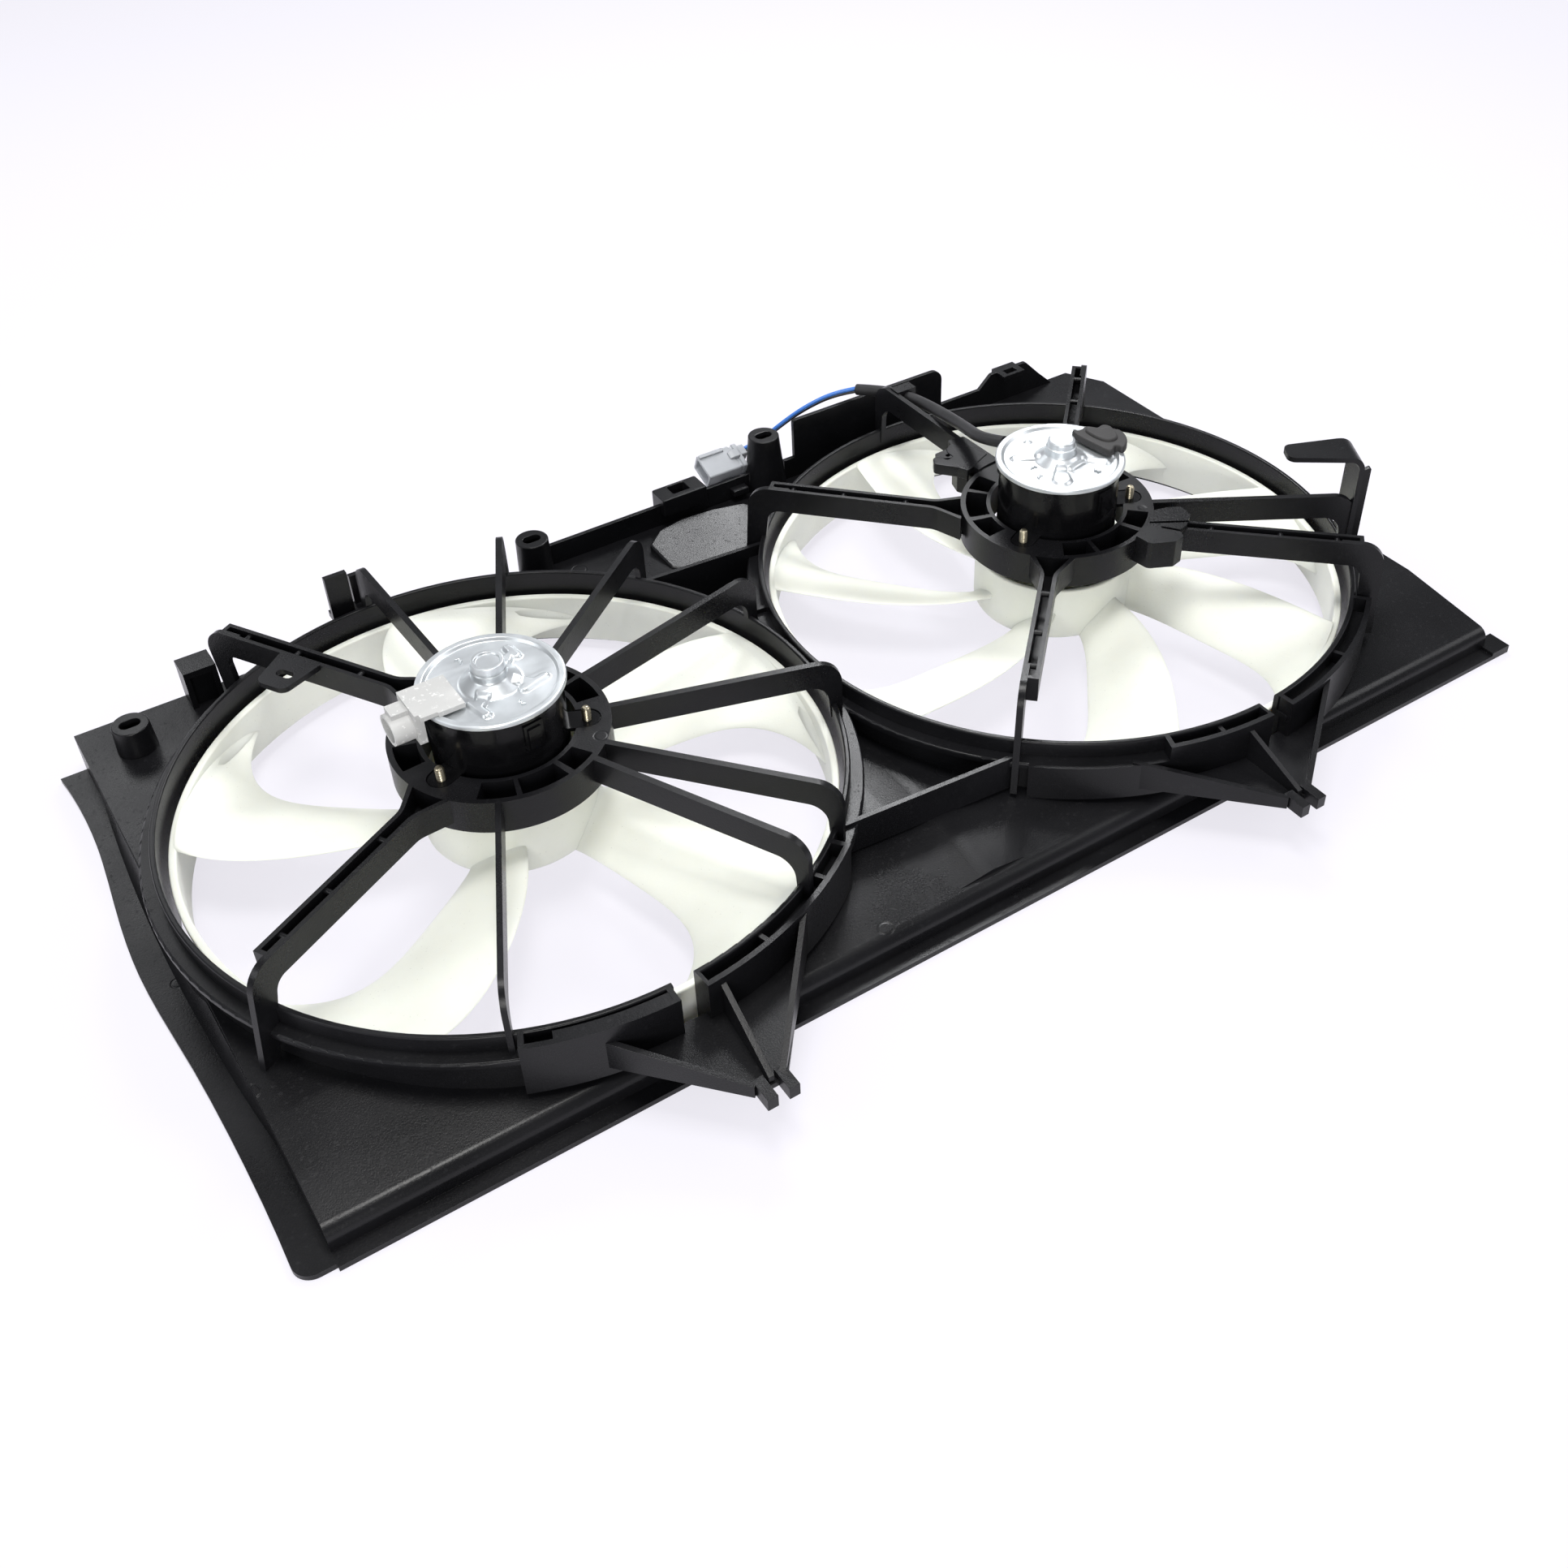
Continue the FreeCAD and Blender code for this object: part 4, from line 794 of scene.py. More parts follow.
    def build(self, shop: Workshop) -> None:
        """Gathers hub, band, blades and ribs into one piece."""
        shell = Shell(self.station)
        shell.grid(self.hub(), wrap_rows=True)
        shell.grid(self.band(), wrap_rows=True)
        for number in range(self.blades):
            shell.grid(capped(self.blade(number * 360.0 / self.blades)))
        for number in range(self.ribs):
            shell.grid(capped(self.rib((number + 0.5) * 360.0 / self.ribs)))
        piece = shell.build("banded_fan_" + self.station.side, SOFT_CREASE)
        shop.hand_in(piece, Slot.FAN, self.body, "fan_" + self.station.side)


@dataclass(frozen=True)
class Emboss:
    """Raised bar pressed into a plate, between two (radius, degrees) points."""

    start: Plan
    end: Plan
    half_start: float
    half_end: float
    height: float
    edge: float = 1.4

    def lift(self, x: np.ndarray, y: np.ndarray) -> np.ndarray:
        """Height over the plan: full inside the bar, falling over its soft edge.

        The half width goes evenly from one end to the other, and the fall is a
        smooth step of the distance past it.
        """
        first, last = (radius * np.array([math.cos(math.radians(turn)),
                                          math.sin(math.radians(turn))])
                       for radius, turn in (self.start, self.end))
        run = last - first
        share = ((x - first[0]) * run[0] + (y - first[1]) * run[1]) / (run @ run)
        share = np.clip(share, 0.0, 1.0)
        away = np.hypot(x - first[0] - share * run[0], y - first[1] - share * run[1])
        past = away - (self.half_start + (self.half_end - self.half_start) * share)
        soft = np.clip(0.5 - past / self.edge, 0.0, 1.0)
        return self.height * soft * soft * (3.0 - 2.0 * soft)


@dataclass
class PressedPlate:
    """Motor end plate pressed from sheet: rim, recess, flared bearing cup and star."""

    station: Station
    top: float
    cup: Sequence[Corner]
    star: Sequence[Emboss]
    notches: Sequence[Plan]
    radius: float = 36.5
    rim_width: float = 3.4
    rim_slope: float = 1.4
    recess: float = 1.5
    sheet: float = 0.8
    thick: float = 2.4
    pocket: float = 6.9
    step: float = 0.7
    columns: int = 224

    def profile(self) -> np.ndarray:
        """Rows of radius, height and how far the star may lift them.

        The lift grows from 0 to 1 over 3 mm round the foot of the cup and falls back
        over 1.5 mm before the slope of the rim. The underside has none.
        """
        edge = self.radius - self.rim_width
        ceiling = self.cup[0][1] - self.sheet
        rim = [(edge - self.rim_slope, -self.recess, 0.8), (edge, 0.0, 0.8),
               (self.radius, 0.0, 0.9), (self.radius, -self.thick, 0.2),
               (self.pocket, -self.thick, 0.0), (self.pocket, ceiling, 0.0), (0.0, ceiling, 0.0)]
        inside = rounded(list(self.cup) + rim, 6)
        rows = [inside[:1]]
        for here, after in zip(inside[:-1], inside[1:]):
            count = max(1, int(np.linalg.norm(after - here) / self.step))
            share = np.linspace(0.0, 1.0, count + 1)[1:, None]
            rows.append(here * (1.0 - share) + after * share)
        line = np.vstack(rows)
        cup_r = self.cup[-1][0]
        top_side = np.arange(len(line)) < int(np.argmax(line[:, 0]))
        inner = np.clip((line[:, 0] - cup_r + 4.0) / 3.0, 0.0, 1.0)
        outer = np.clip((edge - 1.6 - line[:, 0]) / 1.5, 0.0, 1.0)
        return np.column_stack([line, inner * outer * top_side])

    def surface(self) -> np.ndarray:
        """The profile carried round, lifted by the largest of the star's bars."""
        rows = self.profile()
        points = turned(rows[:, :2], self.columns)
        lifts = [bar.lift(points[..., 0], points[..., 1]) for bar in self.star]
        points[..., 2] += np.max(lifts, axis=0) * rows[:, 2:3]
        return points

    def notch(self, angle: float, radius: float) -> np.ndarray:
        """Small lanced tab folded like a W, carried along its zigzag."""
        zigzag = np.array([(-2.0, 1.3), (-1.0, -0.7), (0.0, 0.6), (1.0, -0.7), (2.0, 1.3)])
        section = oblong((-0.3, -0.4), (0.3, 1.1), 0.1, 0.2, 3)
        x = zigzag[:, 0:1] + section[None, :, 0]
        y = zigzag[:, 1:2] + 0.0 * section[None, :, 0]
        height = np.broadcast_to(section[None, :, 1] - self.recess, x.shape)
        points = np.stack([x + radius, y, height], axis=-1)
        return turned_about(angle, points)

    def build(self, shop: Workshop) -> None:
        """Makes the plate with its lanced tabs."""
        shell = Shell(self.station)
        lift = np.array([0.0, 0.0, self.top])
        shell.grid(self.surface() + lift)
        for angle, radius in self.notches:
            shell.grid(capped(self.notch(angle, radius)) + lift)
        piece = shell.build("pressed_plate_" + self.station.side)
        shop.hand_in(piece, Slot.PLATE, "shroud", "motor_end_plate_" + self.station.side)


@dataclass
class MountScrews:
    """Three machine screws of one motor, with real threads on their tips."""

    station: Station
    mount_top: float
    circle: float = 43.0
    angles: Tuple[float, ...] = (-25.0, 91.0, -155.0)
    radius: float = 2.4
    shank_r: float = 2.1
    depth: float = 0.32
    pitch: float = 1.0
    root: float = -3.0
    tip: float = 7.0
    point: float = 1.2
    mount_height: float = 19.0
    head_r: float = 4.4
    head_height: float = 3.2
    columns: int = 28

    def thread(self) -> np.ndarray:
        """Threaded tip.

        Its radius falls by a triangle wave of height and angle, eight rows a turn, and
        its last part, the point, is cut to a cone.
        """
        height = np.arange(self.root, self.tip + 0.01, self.pitch / 8.0)[:, None]
        around = np.linspace(0.0, TURN, self.columns, endpoint=False)[None, :]
        wave = np.abs(((height / self.pitch - around / TURN) % 1.0) * 2.0 - 1.0)
        cone = np.clip((self.tip - height) / self.point, 0.0, 1.0) * 0.35 + 0.65
        radius = (self.radius - self.depth * wave) * cone
        tall = np.broadcast_to(height, radius.shape)
        skin = np.stack([radius * np.cos(around), radius * np.sin(around), tall], axis=-1)
        return capped(skin)

    def head(self) -> np.ndarray:
        """Plain shank and domed head, turned from an outline that ends on the axis."""
        low = -self.mount_height - self.head_height
        outline = rounded([(0.0, self.root, 0.0), (self.shank_r, self.root, 0.0),
                           (self.shank_r, -self.mount_height, 0.0),
                           (self.head_r, -self.mount_height, 0.2), (self.head_r, low, 1.2),
                           (0.0, low, 0.0)])
        return turned(outline, self.columns)

    def build(self, shop: Workshop) -> None:
        """Sets the three screws round the motor."""
        shell = Shell(self.station)
        for angle in self.angles:
            turn = math.radians(angle)
            at = np.array([self.circle * math.cos(turn), self.circle * math.sin(turn),
                           self.mount_top])
            for surface in (self.thread(), self.head()):
                shell.grid(surface + at)
        piece = shell.build("mount_screws_" + self.station.side, THREAD_CREASE)
        shop.hand_in(piece, Slot.SCREW, "shroud", "motor_screws_" + self.station.side)


@dataclass
class MotorLead:
    """Sleeved lead of the right motor and its two wires, on smooth curves in metres."""

    sleeve: Tuple[Point, ...] = (
        (0.1619, 0.0433, 0.1070), (0.1589, 0.0609, 0.1015), (0.1679, 0.0889, 0.0930),
        (0.1739, 0.1189, 0.0860), (0.1769, 0.1499, 0.0800), (0.1749, 0.1759, 0.0750),
        (0.1629, 0.1969, 0.0705),
    )
    wires: Tuple[Point, ...] = (
        (0.1629, 0.1969, 0.0705), (0.1509, 0.2049, 0.0680), (0.1319, 0.2099, 0.0620),
        (0.1159, 0.2134, 0.0540), (0.0990, 0.2160, 0.0440), (0.0845, 0.2163, 0.0420),
    )
    sleeve_r: float = 0.0036
    wire_r: float = 0.00125
    apart: Point = (0.0, 0.0009, -0.0015)

    def curve(self, name: str, points: Sequence[Point], radius: float,
              side: float) -> bpy.types.Object:
        """Round lead on a NURBS line.

        Args:
            name: name of the piece.
            points: control points of the line.
            radius: half of the lead's thickness.
            side: how many times the line is moved by the wires' distance.

        Returns:
            The curve object.
        """
        data = bpy.data.curves.new(name, "CURVE")
        data.dimensions = "3D"
        data.bevel_depth = radius
        data.bevel_resolution = 6
        data.use_fill_caps = True
        spline = data.splines.new("NURBS")
        spline.points.add(len(points) - 1)
        for point, place in zip(spline.points, points):
            point.co = (*(p + side * o for p, o in zip(place, self.apart)), 1.0)
        spline.order_u = 3
        spline.use_endpoint_u = True
        spline.resolution_u = 10
        return add_object(name, data)

    def build(self, shop: Workshop) -> None:
        """Lays the sleeve and both wires."""
        for name, points, radius, side, slot, node in (
                ("sleeve", self.sleeve, self.sleeve_r, 0.0, Slot.SLEEVE, "lead_sleeve"),
                ("blue", self.wires, self.wire_r, -1.0, Slot.BLUE, "lead_wire_blue"),
                ("black", self.wires, self.wire_r, 1.0, Slot.BLACK, "lead_wire_black")):
            piece = self.curve("motor_lead_" + name, points, radius, side)
            shop.hand_in(piece, slot, "shroud", node)


@dataclass(frozen=True)
class Slab:
    """Upright block over a plan outline, with softened rims and perhaps a hole.

    Its top rises by lean for each millimetre of y past the hinge.
    """

    outline: np.ndarray
    low: float
    high: float
    soft: float = 0.7
    hole: Optional[np.ndarray] = None
    lean: float = 0.0
    hinge: float = 0.0
    foot: float = 0.4

    def row(self, outline: np.ndarray, height: float, leant: bool) -> np.ndarray:
        """Outline at a height, on the leaning top or level."""
        rise = self.lean * (outline[:, 1] - self.hinge) if leant else 0.0
        return np.column_stack([outline, np.zeros(len(outline)) + height + rise])

    def side(self, outline: np.ndarray, sign: float) -> List[np.ndarray]:
        """Rows from the foot to the top along one outline; sign -1 for a hole."""
        steps = [(0.0, self.soft), (0.3 * self.soft, 0.3 * self.soft), (self.soft, 0.0)]
        foot = [self.row(drawn_in(outline, sign * self.foot), self.low, False),
                self.row(outline, self.low + self.foot, False)]
        return foot + [self.row(drawn_in(outline, sign * inset), self.high - drop, True)
                       for inset, drop in steps]

    def into(self, shell: Shell) -> None:
        """Adds the block to a shell."""
        outer = self.side(self.outline, 1.0)
        if self.hole is None:
            shell.grid(np.array(outer))
            shell.cover(outer[0])
            shell.cover(outer[-1])
        else:
            inner = self.side(self.hole, -1.0)[::-1]
            shell.grid(np.array(outer + inner), wrap_rows=True)


@dataclass
class SmallMouldings:
    """Black mouldings of the shroud that are shaped here."""

    station: Station

    def latch_loop(self) -> List[Slab]:
        """Latch loop behind the back wall."""
        outer = oblong((189.6, 178.4), (220.8, 194.2), 0.8, 1.4)
        hole = oblong((199.4, 183.2), (211.2, 192.0), 0.8, 0.8)
        return [Slab(outer, -18.5, -7.0, 0.6, hole)]

    def pan_panel(self) -> List[Slab]:
        """Raised bare panel of the pan between the rings, sloping up to the wall."""
        outline = rounded([(171.0, 138.3, 2.0), (183.6, 128.0, 2.0), (218.0, 128.0, 2.0),
                           (247.0, 160.0, 2.0), (240.0, 168.0, 4.0), (219.6, 172.2, 30.0),
                           (197.9, 173.6, 20.0), (180.9, 170.8, 8.0), (169.1, 161.9, 3.0)])
        return [Slab(outline, -27.6, -26.9, 1.6, None, 0.18, 132.0)]

    def harness_claw_block(self) -> List[Slab]:
        """Block and two prongs beside the right motor mount, over the second arm."""
        plate = rounded([(345.6, 55.2, 0.8), (324.7, 46.7, 1.0), (321.7, 53.1, 1.0),
                         (312.5, 64.1, 2.2), (315.9, 69.9, 2.2), (319.9, 70.3, 1.5),
                         (321.9, 63.6, 1.0), (326.8, 64.6, 1.0), (326.8, 70.6, 1.0),
                         (328.4, 74.1, 1.0), (334.1, 76.9, 1.0), (336.6, 72.9, 1.0),
                         (343.2, 67.1, 2.0), (346.1, 58.2, 1.0)], 4)
        block = rounded([(345.6, 55.4, 0.8), (324.9, 46.9, 1.0), (321.9, 53.3, 1.0),
                         (324.5, 62.0, 1.0), (336.6, 72.7, 1.0), (343.0, 67.0, 2.0),
                         (345.9, 58.2, 1.0)])
        return [Slab(plate, 27.6, 34.4), Slab(block, 17.0, 34.2)]

    def wall_cover(self) -> List[Slab]:
        """Lid over most of the left ring's front wall, with a thin slot and a cell left."""
        turn = np.radians(np.linspace(-109.2, -91.8, 22))
        around = np.column_stack([np.cos(turn), np.sin(turn)])
        return [Slab(np.vstack([around * 174.4, around[::-1] * 179.8]), -2.2, -0.2, 0.3)]

    def latch_post_web(self) -> List[Slab]:
        """Closed back of the latch post behind the left ring."""
        return [Slab(oblong((-109.0, 176.2), (-95.0, 178.8), 0.3, 0.3), -27.2, -5.0, 0.3)]

    def connector_clip(self) -> List[Slab]:
        """Clip on the back wall that holds the lead's connector."""
        return [Slab(oblong((240.0, 178.2), (251.0, 197.0), 0.6, 0.6), -22.4, -18.4, 0.5)]

    def build(self, shop: Workshop) -> None:
        """Makes each moulding as a piece of the shroud, named after its method."""
        for shape in (self.latch_loop, self.pan_panel, self.harness_claw_block,
                      self.wall_cover, self.latch_post_web, self.connector_clip):
            shell = Shell(self.station)
            for slab in shape():
                slab.into(shell)
            piece = weighed(shell.build("moulded_" + shape.__name__))
            shop.hand_in(piece, Slot.MOULDING, "shroud")


@dataclass
class TerminalCover:
    """Soft cover over the right motor's terminals: wavy rim and a raised middle."""

    station: Station
    rim: Tuple[Plan, ...] = (
        (364.9, 4.2), (368.0, 5.4), (368.6, 1.9), (375.6, 4.3), (378.0, 0.2), (379.3, -1.5),
        (384.8, 0.2), (387.2, -4.3), (386.1, -7.4), (389.0, -10.3), (387.2, -18.2), (382.0, -24.4),
        (376.7, -26.9), (376.3, -22.8), (374.3, -22.3), (371.4, -25.0), (368.2, -24.5),
        (366.4, -14.5), (364.6, -2.0),
    )
    ridge: Tuple[Plan, ...] = (
        (369.6, -0.6), (375.0, 1.4), (378.6, -4.4), (383.4, -5.2), (384.2, -12.0), (380.6, -18.6),
        (374.0, -18.2), (370.6, -12.0),
    )

    def build(self, shop: Workshop) -> None:
        """Stacks the ridge on the skirt."""
        shell = Shell(self.station)
        Slab(softened(self.rim), 63.9, 68.2, 1.1).into(shell)
        Slab(softened(self.ridge, 3), 66.5, 69.8, 1.5).into(shell)
        piece = weighed(shell.build("terminal_cover_right"))
        shop.hand_in(piece, Slot.COVER, "shroud", "lead_grommet_right")


@dataclass
class LeadConnector:
    """Connector on the lead: a tilted shell with an open mouth, a rail and a lug."""

    station: Station
    centre: Plan = (198.3, -10.0)
    tilt: float = 24.0
    start: float = 228.6
    end: float = 257.0
    tail: float = 262.5
    width: float = 18.5
    height: float = 12.0
    mouth: float = 17.0

    def bar(self, stops: Sequence[Tuple[float, float, float]], aside: float, lifted: float,
            corner: float) -> np.ndarray:
        """Rounded box section carried along x.

        Args:
            stops: x, width and height of each row.
            aside: offset of the section's middle across the shell.
            lifted: offset of the section's middle above the shell's own middle.
            corner: rounding of the section's corners.

        Returns:
            Grid of rows along x, turned by the tilt, with both ends closed.
        """
        turn = math.radians(self.tilt)
        rows = []
        for x, width, height in stops:
            half, tall = width / 2.0, height / 2.0
            flat = oblong((-half, -tall), (half, tall), corner, corner)
            across, above = flat[:, 0] + aside, flat[:, 1] + lifted
            rows.append(np.column_stack([
                np.full(len(flat), x),
                self.centre[0] + across * math.cos(turn) - above * math.sin(turn),
                self.centre[1] + across * math.sin(turn) + above * math.cos(turn)]))
        return capped(np.array(rows))

    def body(self) -> np.ndarray:
        """Shell with a deep mouth in front and a groove near its back.

        Each row is given as its x and how much less than the full section it is.
        """
        a, b = self.start, self.end
        rows = [(a + self.mouth, 4.0), (a + 0.4, 4.0), (a, 3.2), (a, 0.8), (a + 0.4, 0.0),
                (b - 6.0, 0.0), (b - 5.4, 1.6), (b - 3.6, 1.6), (b - 3.0, 0.0), (b - 0.5, 0.0),
                (b, 1.0)]
        return self.bar([(x, self.width - less, self.height - less) for x, less in rows],
                        0.0, 0.0, 1.2)

    def wire_end(self) -> np.ndarray:
        """Narrow tail that the wires go into."""
        return self.bar([(self.end - 1.0, 8.0, 7.0), (self.tail - 0.4, 8.0, 7.0),
                         (self.tail, 7.2, 6.2)], 4.5, 0.0, 1.0)

    def rail(self) -> np.ndarray:
        """Guide rail along the top of the mouth."""
        a, b = self.start, self.start + self.mouth
        return self.bar([(a + 0.6, 2.0, 1.2), (a + 1.0, 2.6, 2.0), (b + 0.6, 2.6, 2.0),
                         (b + 1.0, 2.0, 1.2)],
                        self.width / 2.0 - 2.2, self.height / 2.0 + 0.4, 0.4)

    def lug(self) -> np.ndarray:
        """Latch lug on top, over the groove."""
        b = self.end
        return self.bar([(b - 9.0, 5.0, 1.0), (b - 6.5, 6.0, 3.4), (b - 2.4, 6.0, 3.4),
                         (b - 2.0, 5.0, 2.6)], 1.0, self.height / 2.0 + 0.4, 0.5)

    def build(self, shop: Workshop) -> None:
        """Makes the shell and what stands on it as one piece."""
        shell = Shell(self.station)
        for part in (self.body(), self.wire_end(), self.rail(), self.lug()):
            shell.grid(part)
        piece = weighed(shell.build("lead_connector_shell"))
        shop.hand_in(piece, Slot.PLUG, "shroud", "lead_plug")


@dataclass
class MouldedParts:
    """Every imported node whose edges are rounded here, with the edge's width."""

    mouldings: Tuple[str, ...] = (
        "shroud_pan_left", "shroud_pan_right", "fan_ring_left", "fan_ring_right",
        "radiator_bolt_bosses", "front_rail_arm_left", "mount_arms_left", "mount_arms_right",
        "motor_mount_left", "motor_mount_right", "radiator_fork_left", "radiator_fork_right",
        "back_wall", "cross_ribs", "cable_guides", "harness_hook",
    )
    moulding_edge: float = 0.6
    others: Tuple[Tuple[str, Slot], ...] = (
        ("motor_can_left", Slot.CASE), ("motor_can_right", Slot.CASE),
        ("motor_socket_left", Slot.SOCKET),
    )
    other_edge: float = 0.5

    def build(self, shop: Workshop) -> None:
        """Copies and rounds each node in turn."""
        for node in self.mouldings:
            piece = SoftEdges(self.moulding_edge).copy(node, "moulded_" + node)
            shop.hand_in(piece, Slot.MOULDING, "shroud", node)
        for node, slot in self.others:
            piece = SoftEdges(self.other_edge).copy(node, "made_" + node)
            shop.hand_in(piece, slot, "shroud", node)


# ---------------------------------------------------------------- studio


@dataclass(frozen=True)
class Lamp:
    """Square soft lamp, turned from its place towards its aim."""

    name: str
    place: Point
    size: float
    watts: float
    colour: Colour
    aim: Point = (0.0, 0.0, 0.05)

    def light(self) -> None:
        """Puts the lamp into the scene."""
        data = bpy.data.lights.new(self.name, "AREA")
        data.shape = "SQUARE"
        data.size = self.size
        data.energy = self.watts
        data.color = self.colour
        lamp = add_object(self.name, data)
        lamp.location = self.place
        run = Vector(self.aim) - Vector(self.place)
        lamp.rotation_euler = run.to_track_quat("-Z", "Y").to_euler()


@dataclass
class Studio:
    """Camera of the photograph, pale floor and soft lamps, in metres and degrees."""

    eye: Point = (-0.38717, -0.61943, 0.62375)
    elevation: float = 40.085
    azimuth: float = -33.676
    roll: float = 0.797
    lens: float = 39.27
    shift: Plan = (-0.0445, -0.0445)
    floor_half: float = 9.0
    floor_colour: Colour = (0.88, 0.87, 0.93)
    floor_glow: Colour = (0.95, 0.93, 1.0)
    glow_share: float = 0.78
    sky_colour: Colour = (0.93, 0.95, 1.0)
    sky_strength: float = 0.30
    lamps: Tuple[Lamp, ...] = (
        Lamp("overhead_box", (-0.1, -0.05, 1.9), 0.7, 23.0, (1.0, 0.99, 0.97)),
        Lamp("side_box", (-1.7, 0.2, 1.3), 0.9, 8.0, (0.96, 0.98, 1.0)),
        Lamp("far_box", (1.5, -0.6, 1.4), 0.9, 8.0, (0.98, 0.98, 1.0)),
        Lamp("back_box", (0.67, 0.80, 1.10), 0.4, 10.0, (0.97, 0.98, 1.0), (0.04, 0.17, 0.03)),
        Lamp("corner_box", (-0.35, 1.3, 0.95), 0.5, 2.5, (0.97, 0.98, 1.0), (-0.3, 0.1, 0.03)),
        Lamp("front_box", (-0.9, -1.4, 0.55), 0.7, 13.0, (1.0, 0.99, 0.97)),
    )

    def camera(self) -> None:
        """Camera axes from azimuth, elevation and roll, in that order."""
        a, e, r = (math.radians(v) for v in (self.azimuth, self.elevation, self.roll))
        right = Vector((math.cos(a), math.sin(a), 0.0))
        back = Vector((math.sin(a) * math.cos(e), -math.cos(a) * math.cos(e), math.sin(e)))
        up = Vector((-math.sin(a) * math.sin(e), math.cos(a) * math.sin(e), math.cos(e)))
        across = math.cos(r) * right - math.sin(r) * up
        above = math.sin(r) * right + math.cos(r) * up
        data = bpy.data.cameras.new("studio_camera")
        data.lens = self.lens
        data.sensor_width = 36.0
        data.shift_x, data.shift_y = self.shift
        data.clip_start = 0.02
        camera = add_object("studio_camera", data)
        matrix = Matrix((across, above, back)).transposed().to_4x4()
        matrix.translation = Vector(self.eye)
        camera.matrix_world = matrix
        bpy.context.scene.camera = camera

    def floor(self) -> None:
        """Wide floor at the object's foot.

        A share of what the camera and reflections see of it glows, so that it looks
        paler than it lights the object, and the rest keeps the object's shadow.
        """
        half = self.floor_half
        mesh = bpy.data.meshes.new("studio_floor")
        corners = [(-half, -half, 0.0), (half, -half, 0.0), (half, half, 0.0), (-half, half, 0.0)]
        mesh.from_pydata(corners, [], [(0, 1, 2, 3)])
        floor = add_object("studio_floor", mesh)
        material = bpy.data.materials.new("studio_floor")
        n = Nodes(material)
        plain = n.node("ShaderNodeBsdfDiffuse", {}, {"Color": self.floor_colour})
        glow = n.node("ShaderNodeEmission", {}, {"Color": self.floor_glow, "Strength": 1.0})
        seen = n.ray("Is Camera Ray").larger(n.ray("Is Glossy Ray"))
        n.show("ShaderNodeOutputMaterial", n.mix(seen * self.glow_share, plain, glow))
        mesh.materials.append(material)

    def world(self) -> None:
        """Even pale surroundings, white where the camera looks past the floor."""
        world = bpy.data.worlds.new("studio_world")
        bpy.context.scene.world = world
        n = Nodes(world)
        soft = n.node("ShaderNodeBackground", {},
                      {"Color": self.sky_colour, "Strength": self.sky_strength})
        white = n.node("ShaderNodeBackground", {}, {"Color": (1.0, 1.0, 1.0), "Strength": 1.0})
        n.show("ShaderNodeOutputWorld", n.mix(n.ray("Is Camera Ray"), soft, white))

    def build(self) -> None:
        """Sets up camera, floor, surroundings and lamps."""
        self.camera()
        self.floor()
        self.world()
        for lamp in self.lamps:
            lamp.light()
        bpy.context.scene.view_settings.view_transform = "Standard"


# Blades: share of the way from hub to band, and the angles of both edges there.
FIVE_BLADE_SWEEP = (
    (0.0, 143.0, 182.5), (0.22, 143.5, 179.0), (0.402, 143.5, 175.5), (0.584, 142.0, 171.5),
    (0.75, 138.5, 168.0), (0.883, 132.5, 165.0), (1.0, 121.0, 161.0),
)
SEVEN_BLADE_SWEEP = (
    (0.0, 150.5, 183.0), (0.22, 145.0, 174.0), (0.402, 141.0, 168.0), (0.584, 138.5, 162.0),
    (0.75, 136.0, 157.5), (0.883, 132.0, 154.5), (1.0, 125.0, 152.0),
)
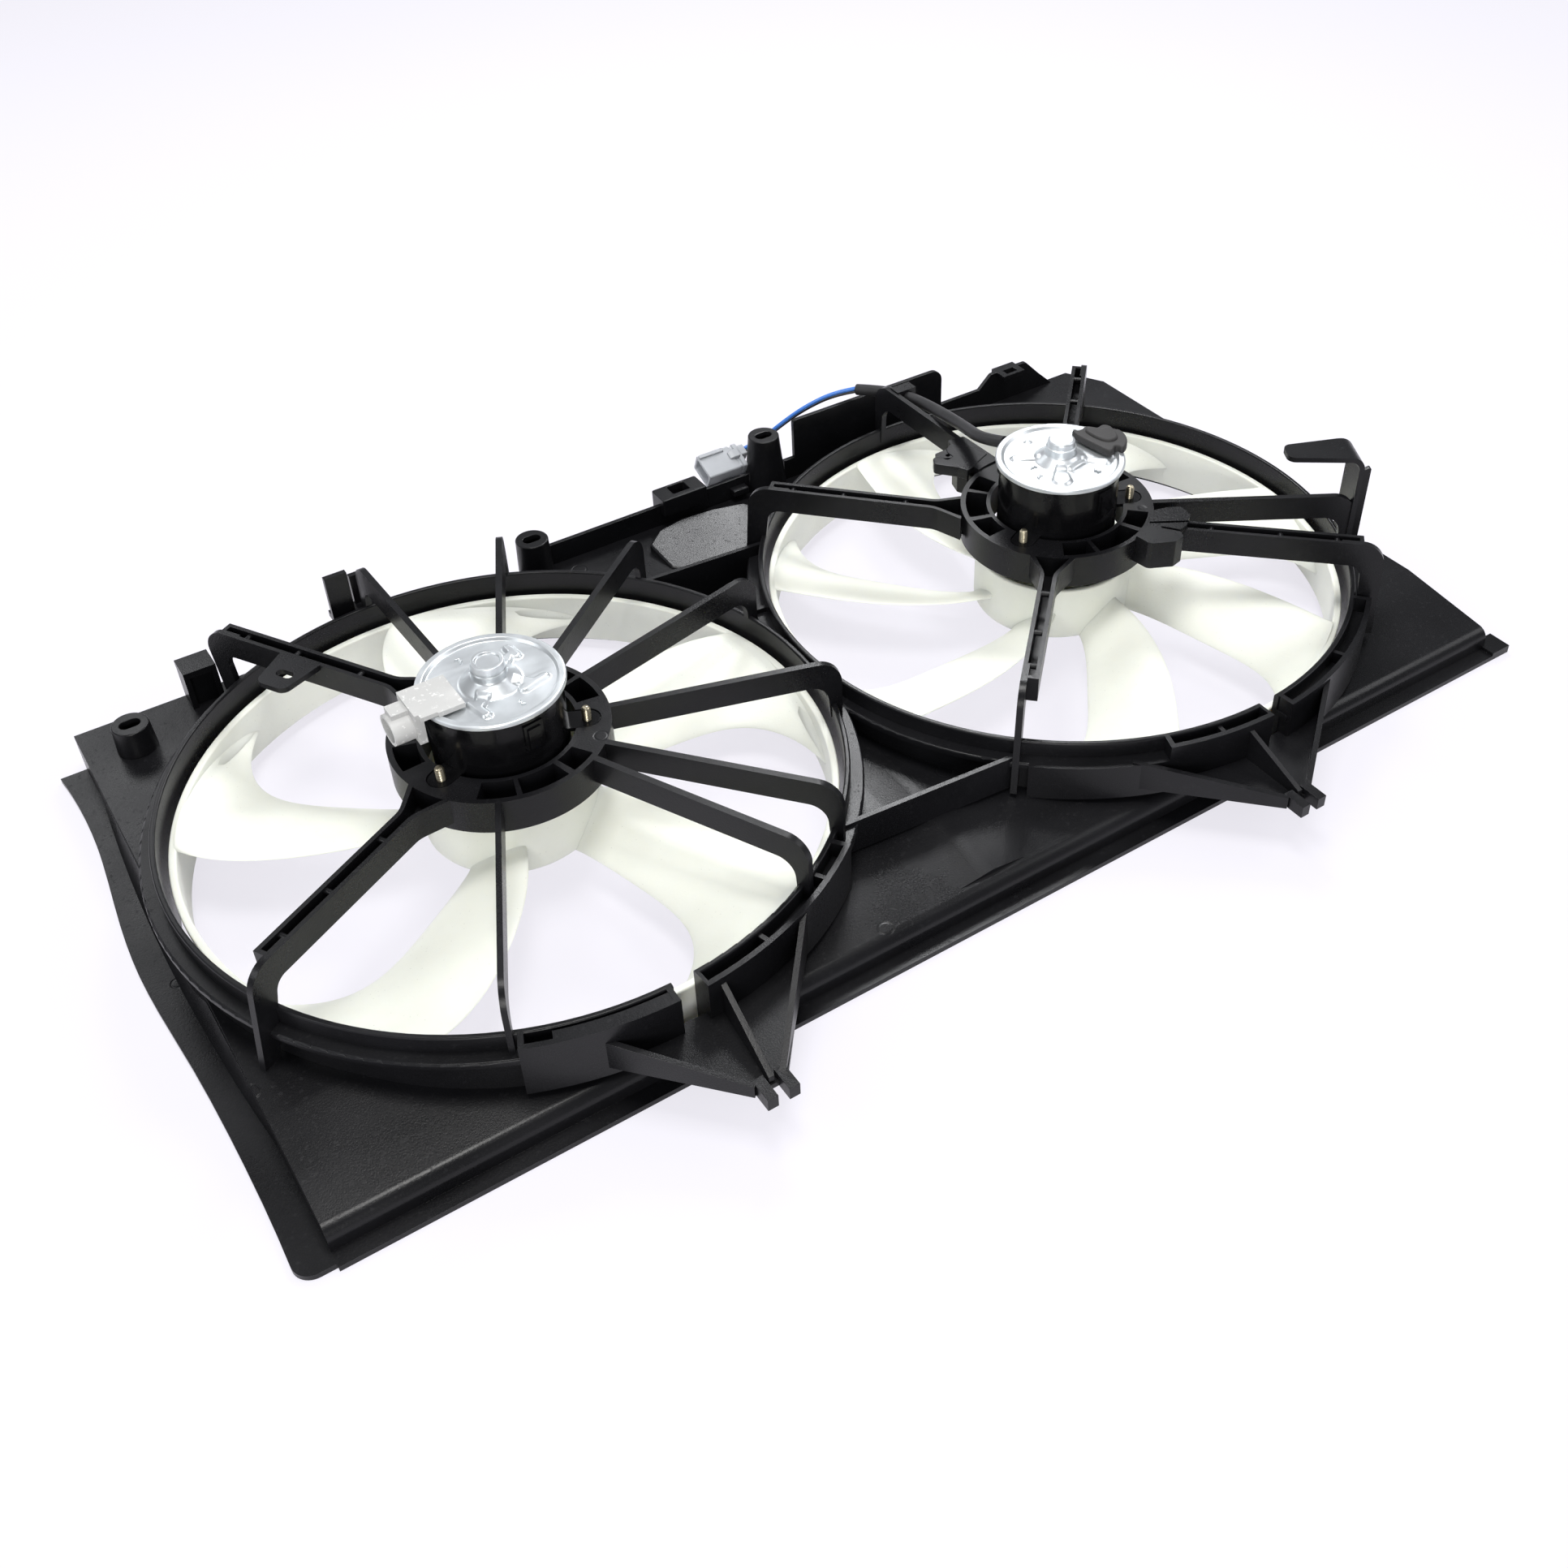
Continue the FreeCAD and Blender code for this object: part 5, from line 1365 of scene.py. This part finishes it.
# Embossed bars of the end plates: both ends, half the width there, and the height.
LEFT_STAR = (
    Emboss((8.0, -38.0), (20.0, -38.0), 4.2, 2.6, 1.7),
    Emboss((26.0, -27.0), (18.5, -54.0), 2.1, 2.6, 1.7),
    Emboss((8.0, -130.0), (20.0, -130.0), 4.2, 2.4, 1.7),
    Emboss((26.0, -119.0), (19.0, -143.0), 2.3, 2.3, 1.7),
    Emboss((8.0, 38.0), (20.0, 38.0), 4.2, 2.4, 1.7),
    Emboss((25.5, 46.0), (21.5, 29.0), 2.2, 2.2, 1.7),
)
RIGHT_STAR = (
    Emboss((13.0, 147.0), (25.0, 147.0), 2.4, 2.8, 1.5),
    Emboss((14.0, -45.0), (25.0, -45.0), 2.4, 2.8, 1.5),
    Emboss((11.0, -127.0), (23.0, -127.0), 2.6, 5.2, 1.5),
    Emboss((14.0, -104.0), (14.0, -55.0), 1.6, 1.6, 1.2),
    Emboss((25.0, 24.6), (29.3, -30.6), 1.2, 1.2, 1.3),
    Emboss((24.3, 99.0), (24.3, 101.0), 1.4, 1.4, 1.2),
)
# Bearing cups: radius, height over the rim and rounding, from the axis outwards.
LEFT_CUP = (
    (0.0, 10.6, 0.0), (5.6, 10.6, 0.5), (6.3, 11.5, 0.3), (8.1, 11.5, 0.5), (8.6, 8.0, 0.3),
    (8.1, 7.6, 0.1), (8.1, 7.0, 0.1), (8.7, 6.6, 0.3), (8.8, 3.2, 1.6), (15.4, -1.5, 3.0),
)
RIGHT_CUP = (
    (0.0, 11.5, 0.0), (7.6, 11.5, 1.6), (7.8, 7.6, 0.3), (8.6, 7.2, 0.4), (8.8, 3.0, 1.6),
    (14.8, -1.5, 3.0),
)
# Lanced tabs: angle and radius.
LEFT_NOTCHES = ((105.0, 23.4), (-79.0, 24.4))
RIGHT_NOTCHES = ((-159.0, 23.4), (-71.0, 23.6), (177.0, 18.8))


def dress_nodes(shop: Workshop) -> None:
    """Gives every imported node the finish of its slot, seen or not."""
    for part in frame["record"]["subparts"]:
        shop.dress(frame["nodes"][part["node"]], Slot(part["material_slot"]))


def main() -> None:
    """Builds the studio, the lead, the fans, the motors and the mouldings in order."""
    logging.basicConfig(level=logging.INFO, format="%(name)s: %(message)s")
    Studio().build()
    shop = Workshop()
    MotorLead().build(shop)
    dress_nodes(shop)
    left = Station.of("left")
    right = Station.of("right")
    BandedFan(left, "left_fan", 5, FIVE_BLADE_SWEEP).build(shop)
    BandedFan(right, "right_fan", 7, SEVEN_BLADE_SWEEP).build(shop)
    PressedPlate(left, 58.0, LEFT_CUP, LEFT_STAR, LEFT_NOTCHES).build(shop)
    PressedPlate(right, 64.0, RIGHT_CUP, RIGHT_STAR, RIGHT_NOTCHES).build(shop)
    MountScrews(left, 27.2).build(shop)
    MountScrews(right, 32.7).build(shop)
    MouldedParts().build(shop)
    SmallMouldings(left).build(shop)
    TerminalCover(left).build(shop)
    LeadConnector(left).build(shop)


if __name__ == "__main__":
    main()
